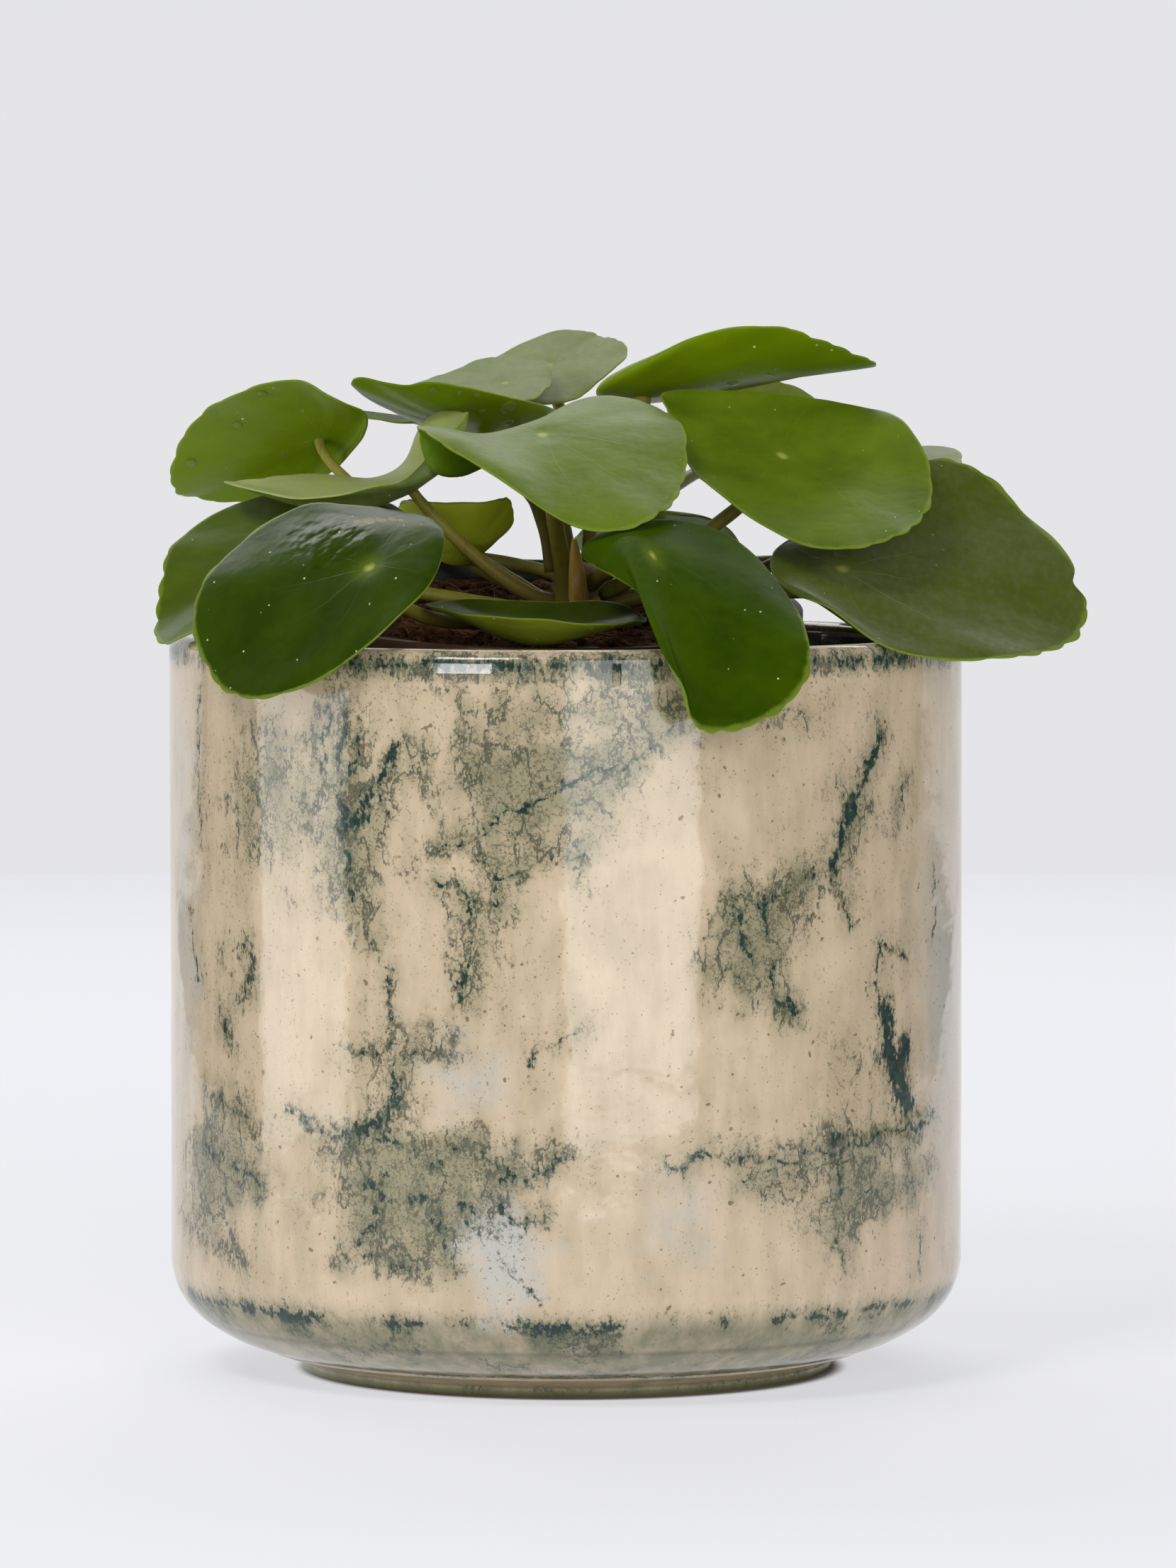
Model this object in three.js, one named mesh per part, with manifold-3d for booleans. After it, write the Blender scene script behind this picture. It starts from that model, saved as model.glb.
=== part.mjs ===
// A pilea (Pilea peperomioides) in its plastic nursery pot, standing in a glazed ceramic pot.
// Millimetres, +Z up, the origin at the centre of the ceramic pot's flat base.
import * as THREE from 'three';
import { mergeVertices } from 'three/addons/utils/BufferGeometryUtils.js';
import Module from 'manifold-3d';

const wasm = await Module();
wasm.setup();

// Ceramic pot
const POT = {
  outerRadius: 75,
  innerRadius: 69,
  height: 139.5,
  rimRound: 2.6,
  shoulderRadius: 73.3,
  shoulderHeight: 14.8,
  shoulderTop: 20.5,
  bellyRadius: 69.7,
  bellyHeight: 10.4,
  bandRadius: 57.6,
  bandHeight: 4.4,
  footRadius: 50.6,
  footHeight: 1.6,
  floor: 11.5,
  floorFillet: 9,
  segments: 72,
};

// Nursery pot, leaning forward a little on the ceramic pot's floor
const NURSERY = {
  rimCentre: new THREE.Vector3(-6, 0, 145.2),
  leanForward: THREE.MathUtils.degToRad(7.4),
  leanSide: THREE.MathUtils.degToRad(-1.2),
  rimRadius: 51,
  lipRadius: 50.2,
  lipHeight: 8,
  bottomRadius: 39,
  depth: 129,
  wall: 1.2,
  segments: 56,
  drainHoles: 5,
  drainRadius: 4,
  drainCircle: 24,
};

// Soil inside the nursery pot
const SOIL = {
  gap: 0.3,
  belowRim: 3.4,
  roughness: 0.55,
  dishDepth: 2.2,
  dishInner: 9,
  dishOuter: 14,
  rings: 7,
  sectors: 40,
};

// Main stem, which every petiole grows from
const STEM = {
  x: 2.5,
  y: 1,
  radius: 5.5,
  bottom: 130,
  top: 153,
  gap: 0.3,
  segments: 20,
};

const BLADE_THICKNESS = 0.8;
const PETIOLE = { sides: 8, steps: 9, rootDepth: 0.5, topClearance: 0.35 };

const COLOURS = {
  glaze: { color: 0xc9b58f, roughness: 0.3, metalness: 0 },
  plastic: { color: 0x3d434a, roughness: 0.55, metalness: 0 },
  soil: { color: 0x35241a, roughness: 0.95, metalness: 0 },
  bark: { color: 0x6b5a33, roughness: 0.8, metalness: 0 },
  leaf: { color: 0x47701f, roughness: 0.4, metalness: 0 },
  petiole: { color: 0x7a6b3a, roughness: 0.5, metalness: 0 },
};

// Each blade lies through five points, in millimetres: where its petiole joins it, its tip,
// its heel behind the petiole, and its left and right ends seen from above. A pull moves the
// blade near (s, t), which run from -1 to 1 along and across it, within reach, by x, y and z.
// Each petiole leaves the main stem at an angle round it and a height, rising at a slope,
// with two handles in parts of its length.
const LEAVES = [
  {
    name: 'leaf_01',
    attach: [-47.7, 40, 175.5], tip: [-77, 50, 169.5], heel: [-38.5, 28, 177.5],
    left: [-54, 22, 186.5], right: [-61, 58, 163.5],
    pulls: [[0.7, 0.7, 0.5, 0, 0, 2.5], [-0.7, 0.7, 0.5, -1.5, 0, -2]],
    petiole: { angle: 112, height: 144.6, rise: 0, leave: 0.42, arrive: 0.12, root: 1.5, top: 0.85 },
  },
  {
    name: 'leaf_02',
    attach: [-29, -3, 168.2], tip: [-65.2, 4, 168.7], heel: [-17.8, 11, 180.8],
    left: [-36, -17, 167.3], right: [-35, 18, 168.5],
    pulls: [[-0.7, -0.7, 0.5, -5, -1, 3.5], [-0.7, 0.7, 0.5, -5, 2, -3], [0.45, 0.1, 0.45, 0, 0, -4],
      [0.7, -0.7, 0.5, 2, 0, 2]],
    taper: 0.09,
    petiole: { angle: 200, height: 145.2, rise: 8, leave: 0.3, arrive: 0.06, root: 1.55, top: 0.95 },
  },
  {
    name: 'leaf_03',
    attach: [-49, -8, 154.6], tip: [-76, -22, 137.8], heel: [-32, 8, 163],
    left: [-49.7, -32, 145], right: [-70.5, 6, 160.3],
    pulls: [[0.7, -0.7, 0.5, 3.5, 0, 0], [0.7, 0.7, 0.5, 0, 0, 6]],
    petiole: { angle: 182, height: 142.4, rise: 14, leave: 0.35, arrive: 0.12, root: 1.5, top: 1.2 },
  },
  {
    name: 'leaf_04',
    attach: [-35.6, -56, 153.8], tip: [-61.5, -58, 131], heel: [-25.5, -45, 163],
    left: [-29.5, -70, 145.5], right: [-56.5, -30, 161],
    pulls: [[0.7, -0.7, 0.5, -3, 0, 1], [-0.7, -0.7, 0.5, 0, 0, -2.5], [-0.7, 0.7, 0.5, -1.5, 0, 0]],
    petiole: { angle: 228, height: 143, rise: -2, leave: 0.5, arrive: 0.25, root: 1.5, top: 1.3 },
  },
  {
    name: 'leaf_05',
    attach: [-16, 31, 177], tip: [-41, 16, 187], heel: [-1.2, 39, 179.6],
    left: [-21.3, 10, 186.2], right: [-24.5, 48, 178],
    pulls: [], edgeWave: 0.2, taper: 0.1, rings: 3,
    petiole: { angle: 182, height: 151, rise: 84, leave: 0.55, arrive: 0.12, root: 1.4, top: 1.1 },
  },
  {
    name: 'leaf_06',
    attach: [-12, 57, 186], tip: [-11, 77, 190.6], heel: [-12, 37, 182.8],
    left: [-30.8, 55, 184.4], right: [-2.9, 55, 186.4],
    pulls: [], rings: 3,
    petiole: { angle: 108, height: 151, rise: 72, leave: 0.4, arrive: 0.35, root: 1.4, top: 1.2 },
  },
  {
    name: 'leaf_07',
    attach: [-3.4, 84, 189], tip: [1.5, 104, 196], heel: [-4, 62, 181.8],
    left: [-18.5, 84, 187], right: [12, 82, 192],
    pulls: [[0.7, -0.7, 0.5, -2, 0, -2]], rings: 3,
    petiole: { angle: 70, height: 151, rise: 80, leave: 0.35, arrive: 0.25, root: 1.4, top: 1.2 },
  },
  {
    name: 'leaf_08',
    attach: [-4.2, -16, 177.3], tip: [22.7, -22, 173.8], heel: [-27.5, -13, 177.8],
    left: [6, 4, 184.5], right: [5, -47, 160.4],
    pulls: [[-0.7, 0.7, 0.45, -7, -8, -12], [-0.7, -0.7, 0.5, 0, 0, 4.5], [-0.95, -0.3, 0.35, 0, 0, 2.5],
      [-0.65, 0.25, 0.25, 0, 0, -2.2], [-0.42, 0.6, 0.3, 0, 0, -3.6]],
    petiole: { angle: 240, height: 145.5, rise: 86, leave: 0.3, arrive: 0.22, root: 1.85, top: 1.2 },
  },
  {
    name: 'leaf_09',
    attach: [14.5, 26, 184], tip: [59.5, 16, 189.8], heel: [8.2, 31, 186],
    left: [38.6, 44, 185.5], right: [33.8, 4, 197.8],
    pulls: [[0.7, 0.7, 0.5, -1, 0, 4], [0.7, -0.7, 0.5, -0.5, 0, -0.5], [-0.7, -0.7, 0.5, 1, 0, -1]],
    edgeWave: 0.3, taper: 0.03,
    petiole: { angle: 350, height: 151, rise: 60, leave: 0.5, arrive: 0.4, root: 1.6, top: 1.5 },
  },
  {
    name: 'leaf_10',
    attach: [38, 60, 179], tip: [40, 66, 186.5], heel: [42, 54, 171],
    left: [30, 56, 178], right: [51, 62, 177.5],
    pulls: [], rings: 3,
    petiole: { angle: 40, height: 147.5, rise: 60, leave: 0.45, arrive: 0.3, root: 1.4, top: 1.1 },
  },
  {
    name: 'leaf_11',
    attach: [40.9, -6, 173], tip: [68.5, -18, 168.7], heel: [20.9, 0, 177.8],
    left: [43.6, 12, 183.5], right: [46.5, -38, 157.3],
    pulls: [[-0.7, 0.7, 0.5, -7, 2, 1], [0.7, 0.7, 0.5, 1.2, 0, 3]],
    petiole: { angle: 336, height: 147, rise: 24, leave: 0.35, arrive: 0.12, root: 1.5, top: 1.2 },
  },
  {
    name: 'leaf_12',
    attach: [51.6, -26, 152.6], tip: [98.4, -20, 145], heel: [38.9, -22, 155.4],
    left: [72, 6, 172.6], right: [62.4, -47, 137.6],
    pulls: [[0.7, 0.7, 0.5, -3.5, 0, -0.5], [-0.6, -0.8, 0.45, 1, 0, 4], [-0.7, 0.7, 0.5, 0, 4, -8]],
    notch: { angle: 0.2, width: 0.12, depth: 0.04 },
    petiole: { angle: 322, height: 143.8, rise: 18, leave: 0.6, arrive: 0.2, root: 1.4, top: 1.3 },
  },
  {
    name: 'leaf_13',
    attach: [54, 32, 169], tip: [76.3, 30, 171.7], heel: [40, 30, 169],
    left: [58, 52, 174], right: [56, 14, 165],
    pulls: [], rings: 3,
    petiole: { angle: 4, height: 146.3, rise: 0, leave: 0.6, arrive: 0.12, root: 1.4, top: 1.1 },
  },
  {
    name: 'leaf_14',
    attach: [16, -54, 155.8], tip: [27.4, -85, 125.2], heel: [11, -31, 158.3],
    left: [44, -68, 140.2], right: [15.2, -71, 143.6],
    pulls: [[-0.7, 0.7, 0.5, 4, 8, 5], [-0.7, -0.7, 0.32, -5, 0, 0.5], [-0.3, -0.95, 0.35, 2.5, 0, 0],
      [0.7, -0.7, 0.5, 1.5, -2, 0], [0.7, 0.7, 0.5, -2, 0, 0]],
    petiole: { angle: 297, height: 149, rise: 25, leave: 0.4, arrive: 0.25, root: 1.5, top: 1.3 },
  },
  {
    name: 'leaf_15',
    attach: [-6, -38, 142], tip: [-25.9, -42, 146.6], heel: [15, -44, 143.6],
    left: [-6.1, -58, 145.2], right: [-5, -29, 146.5],
    pulls: [[0, 0.45, 0.5, 0, 0, -3], [-0.7, -0.7, 0.5, 0, 0, 1.5]], edgeWave: 0.2, rings: 3,
    petiole: { angle: 265, height: 143, rise: 0, leave: 0.45, arrive: 0.06, root: 1.3, top: 1.1 },
  },
  {
    name: 'leaf_16',
    attach: [-19.6, 14, 156], tip: [-33, 22, 160], heel: [-10.1, 4, 163.2],
    left: [-21.3, 6, 163.5], right: [-20.2, 25, 152],
    pulls: [[0.7, 0.7, 0.5, 0, 0, 2]], rings: 3,
    petiole: { angle: 150, height: 143.8, rise: 36, leave: 0.3, arrive: 0.05, root: 1.3, top: 1.1 },
  },
  {
    name: 'leaf_17',
    attach: [-24, 66, 178], tip: [-42, 64, 180], heel: [-12, 64, 177],
    left: [-26, 52, 178], right: [-26, 88, 177],
    pulls: [], rings: 3,
    petiole: { angle: 146, height: 151, rise: 84, leave: 0.34, arrive: 0.08, root: 1.4, top: 1.2 },
  },
  {
    name: 'leaf_18',
    attach: [-42, 52, 156.5], tip: [-62, 74, 149.5], heel: [-32, 40, 159.5],
    left: [-56, 36, 158.5], right: [-28, 70, 153.5],
    pulls: [], rings: 3,
    petiole: { angle: 92, height: 147.6, rise: 9, leave: 0.45, arrive: 0.03, root: 1.4, top: 1.2 },
  },
  {
    name: 'leaf_19',
    attach: [18, 62, 158], tip: [24, 94, 147], heel: [15, 48, 161],
    left: [2, 76, 153], right: [34, 62, 155],
    pulls: [], rings: 3,
    petiole: { angle: 62, height: 144, rise: 28, leave: 0.45, arrive: 0.1, root: 1.4, top: 1.2 },
  },
  {
    name: 'leaf_20',
    attach: [61, 47, 153.5], tip: [86, 63, 143.5], heel: [50, 40, 156],
    left: [55, 68, 148.5], right: [75, 28, 152.5],
    pulls: [], rings: 3,
    petiole: { angle: 30, height: 144, rise: 25, leave: 0.5, arrive: 0.08, root: 1.4, top: 1.2 },
  },
];

// Two papery stipules that stand on the main stem: foot, middle, tip and foot radius
const STIPULES = [
  { foot: [2.6, -4.9, 145], middle: [2.2, -7, 150], tip: [1.6, -8, 157.5], radius: 1.3 },
  { foot: [4.8, -3.8, 143.6], middle: [5.6, -5.2, 145], tip: [6, -5.8, 146.6], radius: 1 },
];

const vec = (list) => new THREE.Vector3(...list);

// A closed body from any geometry: shared vertices merged, empty triangles dropped, faces out
function closed(geometry) {
  const bare = geometry.clone();
  bare.deleteAttribute('normal');
  bare.deleteAttribute('uv');
  const merged = mergeVertices(bare, 1e-4);
  const position = merged.attributes.position;
  const index = Array.from(merged.index.array);
  const kept = [];
  for (let i = 0; i < index.length; i += 3) {
    const [a, b, c] = index.slice(i, i + 3);
    if (a !== b && b !== c && c !== a) kept.push(a, b, c);
  }
  const corner = (i) => new THREE.Vector3().fromBufferAttribute(position, i);
  let volume = 0;
  for (let i = 0; i < kept.length; i += 3) {
    volume += corner(kept[i]).dot(corner(kept[i + 1]).cross(corner(kept[i + 2])));
  }
  if (volume < 0) kept.reverse();
  merged.setIndex(kept);
  return merged;
}

function toManifold(geometry) {
  const body = closed(geometry);
  return new wasm.Manifold(new wasm.Mesh({
    numProp: 3,
    vertProperties: new Float32Array(body.attributes.position.array),
    triVerts: new Uint32Array(body.index.array),
  }));
}

function fromManifold(solid) {
  const mesh = solid.getMesh();
  const geometry = new THREE.BufferGeometry();
  geometry.setAttribute('position', new THREE.BufferAttribute(mesh.vertProperties, 3));
  geometry.setIndex(new THREE.BufferAttribute(mesh.triVerts, 1));
  return geometry;
}

// Profile points are [radius, height]; the body turns round the Z axis
function turned(profile, segments) {
  const points = profile.map(([radius, height]) => new THREE.Vector2(radius, height));
  return closed(new THREE.LatheGeometry(points, segments).rotateX(Math.PI / 2));
}

function arc(centre, radius, fromDegrees, toDegrees, steps) {
  const points = [];
  for (let i = 0; i <= steps; i += 1) {
    const angle = THREE.MathUtils.degToRad(fromDegrees + (toDegrees - fromDegrees) * i / steps);
    points.push([centre[0] + radius * Math.cos(angle), centre[1] + radius * Math.sin(angle)]);
  }
  return points;
}

function ceramicPot() {
  const { outerRadius, innerRadius, height, rimRound, footRadius, footHeight } = POT;
  const profile = [
    [0, 0],
    [footRadius - 0.8, 0],
    [footRadius, 0.8],
    [footRadius + 0.2, footHeight],
    [POT.bandRadius, POT.bandHeight],
    [POT.bandRadius + 6.2, POT.bandHeight + 2.3],
    [POT.bellyRadius, POT.bellyHeight],
    [POT.shoulderRadius, POT.shoulderHeight],
    [outerRadius, POT.shoulderTop],
    ...arc([outerRadius - rimRound, height - rimRound], rimRound, 0, 90, 4),
    ...arc([innerRadius + rimRound, height - rimRound], rimRound, 90, 180, 4),
    ...arc([innerRadius - POT.floorFillet, POT.floor + POT.floorFillet], POT.floorFillet, 0, -90, 4),
    [0, POT.floor],
  ];
  return turned(profile, POT.segments);
}

// Outside and inside radius of the nursery pot, at a depth below its rim
const nurseryRadius = (depth) => {
  const share = depth / NURSERY.depth;
  return NURSERY.lipRadius + (NURSERY.bottomRadius - NURSERY.lipRadius) * share;
};

function nurseryPot() {
  const { rimRadius, lipHeight, depth, wall, bottomRadius } = NURSERY;
  const profile = [
    [0, -depth],
    [bottomRadius - 1.5, -depth],
    [bottomRadius, -depth + 1.5],
    [nurseryRadius(lipHeight), -lipHeight],
    [rimRadius, -lipHeight + 0.6],
    [rimRadius, -0.5],
    [rimRadius - 0.5, 0],
    [nurseryRadius(0) - wall, 0],
    [nurseryRadius(depth) - wall, -depth + wall],
    [0, -depth + wall],
  ];
  let pot = toManifold(turned(profile, NURSERY.segments));
  for (let i = 0; i < NURSERY.drainHoles; i += 1) {
    const angle = 2 * Math.PI * i / NURSERY.drainHoles;
    const hole = new THREE.CylinderGeometry(NURSERY.drainRadius, NURSERY.drainRadius, 4 * wall, 12);
    hole.rotateX(Math.PI / 2);
    hole.translate(NURSERY.drainCircle * Math.cos(angle), NURSERY.drainCircle * Math.sin(angle), -depth);
    pot = pot.subtract(toManifold(hole));
  }
  return fromManifold(pot);
}

// The nursery pot's own frame, whose origin is the centre of its rim
function nurseryFrame() {
  const turn = new THREE.Euler(NURSERY.leanForward, -NURSERY.leanSide, 0);
  return new THREE.Matrix4().compose(
    NURSERY.rimCentre,
    new THREE.Quaternion().setFromEuler(turn),
    new THREE.Vector3(1, 1, 1),
  );
}

function soilHeight(x, y) {
  const bumps = Math.sin(0.31 * x + 1.3) * Math.sin(0.37 * y + 0.4)
    + 0.6 * Math.sin(0.83 * x + 0.2 * y) * Math.sin(0.71 * y - 0.3 * x + 2);
  const fromStem = Math.hypot(x - STEM.x + NURSERY.rimCentre.x, y - STEM.y);
  const dish = THREE.MathUtils.clamp(
    (SOIL.dishOuter - fromStem) / (SOIL.dishOuter - SOIL.dishInner), 0, 1);
  return -SOIL.belowRim + SOIL.roughness * bumps - SOIL.dishDepth * dish;
}

function soil(stem) {
  const { rings, sectors, gap } = SOIL;
  const bottom = -NURSERY.depth + NURSERY.wall + gap;
  const topRadius = nurseryRadius(SOIL.belowRim + 1.5) - NURSERY.wall - gap - 0.1;
  const bottomRadius = nurseryRadius(NURSERY.depth) - NURSERY.wall - gap - 0.1;
  const positions = [0, 0, soilHeight(0, 0)];
  const faces = [];
  for (let ring = 1; ring <= rings; ring += 1) {
    for (let k = 0; k < sectors; k += 1) {
      const angle = 2 * Math.PI * k / sectors;
      const radius = topRadius * ring / rings;
      const [x, y] = [radius * Math.cos(angle), radius * Math.sin(angle)];
      positions.push(x, y, soilHeight(x, y));
    }
  }
  for (let k = 0; k < sectors; k += 1) {
    const angle = 2 * Math.PI * k / sectors;
    positions.push(bottomRadius * Math.cos(angle), bottomRadius * Math.sin(angle), bottom);
  }
  positions.push(0, 0, bottom);
  const at = (ring, k) => 1 + (ring - 1) * sectors + k % sectors;
  const bottomCentre = positions.length / 3 - 1;
  for (let k = 0; k < sectors; k += 1) {
    faces.push(0, at(1, k), at(1, k + 1));
    for (let ring = 1; ring <= rings; ring += 1) {
      faces.push(at(ring, k), at(ring + 1, k), at(ring + 1, k + 1));
      faces.push(at(ring, k), at(ring + 1, k + 1), at(ring, k + 1));
    }
    faces.push(bottomCentre, at(rings + 1, k + 1), at(rings + 1, k));
  }
  const geometry = new THREE.BufferGeometry();
  geometry.setAttribute('position', new THREE.Float32BufferAttribute(positions, 3));
  geometry.setIndex(faces);
  geometry.applyMatrix4(nurseryFrame());
  return fromManifold(toManifold(geometry).subtract(stem));
}

// The main stem's body, made bigger all round by grow
function stemBody(grow) {
  const radius = STEM.radius + grow;
  const profile = [
    [0, STEM.bottom - grow],
    [radius - 1, STEM.bottom - grow],
    [radius, STEM.bottom - grow + 1],
    [radius, STEM.top - 2.4],
    [radius - 1.6, STEM.top - 0.6 + grow],
    [0, STEM.top + grow],
  ];
  return turned(profile, STEM.segments).translate(STEM.x, STEM.y, 0);
}

// A round tube along a curve, its radius going evenly from start to end
function taperedTube(curve, startRadius, endRadius, sides, steps) {
  const frames = curve.computeFrenetFrames(steps, false);
  const positions = [];
  const faces = [];
  for (let i = 0; i <= steps; i += 1) {
    const share = i / steps;
    const centre = curve.getPointAt(share);
    const radius = THREE.MathUtils.lerp(startRadius, endRadius, share);
    for (let k = 0; k < sides; k += 1) {
      const angle = 2 * Math.PI * k / sides;
      const point = centre.clone()
        .addScaledVector(frames.normals[i], radius * Math.cos(angle))
        .addScaledVector(frames.binormals[i], radius * Math.sin(angle));
      positions.push(point.x, point.y, point.z);
    }
  }
  const at = (i, k) => i * sides + k % sides;
  for (let i = 0; i < steps; i += 1) {
    for (let k = 0; k < sides; k += 1) {
      faces.push(at(i, k), at(i, k + 1), at(i + 1, k + 1));
      faces.push(at(i, k), at(i + 1, k + 1), at(i + 1, k));
    }
  }
  for (let k = 1; k < sides - 1; k += 1) {
    faces.push(at(0, 0), at(0, k + 1), at(0, k));
    faces.push(at(steps, 0), at(steps, k), at(steps, k + 1));
  }
  const geometry = new THREE.BufferGeometry();
  geometry.setAttribute('position', new THREE.Float32BufferAttribute(positions, 3));
  geometry.setIndex(faces);
  return closed(geometry);
}

function mainStem() {
  let stem = toManifold(stemBody(0));
  for (const { foot, middle, tip, radius } of STIPULES) {
    const curve = new THREE.QuadraticBezierCurve3(vec(foot), vec(middle), vec(tip));
    stem = stem.add(toManifold(taperedTube(curve, radius, 0.35, 8, 5)));
  }
  return fromManifold(stem);
}

// A point of the blade's middle surface, s along it and t across it
function bladePoint(leaf, s, t) {
  const attach = vec(leaf.attach);
  const along = vec(leaf.tip).sub(vec(leaf.heel)).multiplyScalar(0.5);
  const alongBend = vec(leaf.tip).add(vec(leaf.heel)).multiplyScalar(0.5).sub(attach);
  const across = vec(leaf.left).sub(vec(leaf.right)).multiplyScalar(0.5);
  const acrossBend = vec(leaf.left).add(vec(leaf.right)).multiplyScalar(0.5).sub(attach);
  const point = attach
    .addScaledVector(along, s)
    .addScaledVector(alongBend, s * s)
    .addScaledVector(across, t)
    .addScaledVector(acrossBend, t * t);
  for (const [pullS, pullT, reach, dx, dy, dz] of leaf.pulls) {
    const distance = ((s - pullS) ** 2 + (t - pullT) ** 2) / reach ** 2;
    point.addScaledVector(new THREE.Vector3(dx, dy, dz), Math.exp(-distance));
  }
  return point;
}

function bladeNormal(leaf, s, t) {
  const step = 1e-3;
  const ds = bladePoint(leaf, s + step, t).sub(bladePoint(leaf, s - step, t));
  const dt = bladePoint(leaf, s, t + step).sub(bladePoint(leaf, s, t - step));
  return ds.cross(dt).normalize();
}

// How far the blade's edge lies out at an angle from the tip, 1 being an even oval
function edgeReach(leaf, angle) {
  const off = Math.min(angle, 2 * Math.PI - angle, Math.PI / 2);
  let reach = 1 - (leaf.taper ?? 0) * Math.sin(2 * off) ** 2;
  if (leaf.notch) {
    reach -= leaf.notch.depth * Math.exp(-(((angle - leaf.notch.angle) / leaf.notch.width) ** 2));
  }
  return reach;
}

// A blade: the same fan of triangles above and below its middle surface, joined at the edge
function bladeGeometry(leaf) {
  const rings = leaf.rings === 3 ? [0.42, 0.76, 1] : [0.34, 0.62, 0.85, 1];
  const sectors = 28;
  const scallop = 0.008;
  const wave = leaf.edgeWave ?? 0.5;
  const half = BLADE_THICKNESS / 2;
  const grid = [[0, 0, 0, 0]];
  for (const ring of rings) {
    for (let k = 0; k < sectors; k += 1) {
      const angle = 2 * Math.PI * k / sectors;
      const edge = ring === 1 ? 1 + scallop * (-1) ** k : 1;
      const radius = ring * edge * edgeReach(leaf, angle);
      grid.push([radius * Math.cos(angle), radius * Math.sin(angle), ring, angle]);
    }
  }
  const positions = [];
  for (const side of [1, -1]) {
    for (const [s, t, ring, angle] of grid) {
      const normal = bladeNormal(leaf, s, t);
      const lift = wave * ring ** 3 * Math.sin(5 * angle) + side * half;
      const point = bladePoint(leaf, s, t).addScaledVector(normal, lift);
      positions.push(point.x, point.y, point.z);
    }
  }
  const under = grid.length;
  const at = (ring, k) => 1 + ring * sectors + k % sectors;
  const faces = [];
  const both = (a, b, c) => faces.push(a, b, c, under + a, under + c, under + b);
  for (let k = 0; k < sectors; k += 1) {
    both(0, at(0, k), at(0, k + 1));
    for (let ring = 0; ring < rings.length - 1; ring += 1) {
      both(at(ring, k), at(ring + 1, k), at(ring + 1, k + 1));
      both(at(ring, k), at(ring + 1, k + 1), at(ring, k + 1));
    }
    const [a, b] = [at(rings.length - 1, k), at(rings.length - 1, k + 1)];
    faces.push(a, under + a, under + b, a, under + b, b);
  }
  const geometry = new THREE.BufferGeometry();
  geometry.setAttribute('position', new THREE.Float32BufferAttribute(positions, 3));
  geometry.setIndex(faces);
  return closed(geometry);
}

function petioleCurve(leaf) {
  const { angle, height, rise, leave, arrive } = leaf.petiole;
  const turn = THREE.MathUtils.degToRad(angle);
  const slope = THREE.MathUtils.degToRad(rise);
  const outward = new THREE.Vector3(Math.cos(turn), Math.sin(turn), 0);
  const rootRadius = STEM.radius - PETIOLE.rootDepth;
  const root = new THREE.Vector3(STEM.x, STEM.y, height).addScaledVector(outward, rootRadius);
  const start = outward.multiplyScalar(Math.cos(slope)).setZ(Math.sin(slope));
  const normal = bladeNormal(leaf, 0, 0);
  const below = BLADE_THICKNESS / 2 + PETIOLE.topClearance;
  const end = bladePoint(leaf, 0, 0).addScaledVector(normal, -below);
  const length = root.distanceTo(end);
  return new THREE.CubicBezierCurve3(
    root,
    root.clone().addScaledVector(start, length * leave),
    end.clone().addScaledVector(normal, -length * arrive),
    end,
  );
}

function petioleGeometry(leaf, stemSpace) {
  const { root, top } = leaf.petiole;
  const tube = taperedTube(petioleCurve(leaf), root, top, PETIOLE.sides, PETIOLE.steps);
  return fromManifold(toManifold(tube).subtract(stemSpace));
}

function mesh(name, geometry, look) {
  const node = new THREE.Mesh(geometry, new THREE.MeshStandardMaterial(look));
  node.name = name;
  return node;
}

const group = new THREE.Group();
const stemSpace = toManifold(stemBody(STEM.gap));
group.add(mesh('ceramic_pot', ceramicPot(), COLOURS.glaze));

const nursery = mesh('nursery_pot', nurseryPot(), COLOURS.plastic);
nursery.applyMatrix4(nurseryFrame());
group.add(nursery);

group.add(mesh('soil', soil(stemSpace), COLOURS.soil));
group.add(mesh('main_stem', mainStem(), COLOURS.bark));
for (const leaf of LEAVES) {
  group.add(mesh(`${leaf.name}_blade`, bladeGeometry(leaf), COLOURS.leaf));
  group.add(mesh(`${leaf.name}_petiole`, petioleGeometry(leaf, stemSpace), COLOURS.petiole));
}

export default group;
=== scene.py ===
"""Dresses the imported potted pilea: glazed cover pot, nursery pot, soil, stem, leaf stalks and leaves.

Lengths are written in millimetres, as a grower would measure them, and turned into metres where a mesh
is made. Every mesh stands where its solid stands, with the pot's base at the origin and the front at -Y.
"""
import logging
import math
import random
from dataclasses import dataclass, field
from enum import Enum
from typing import Callable, Iterable, Sequence, Union

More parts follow.
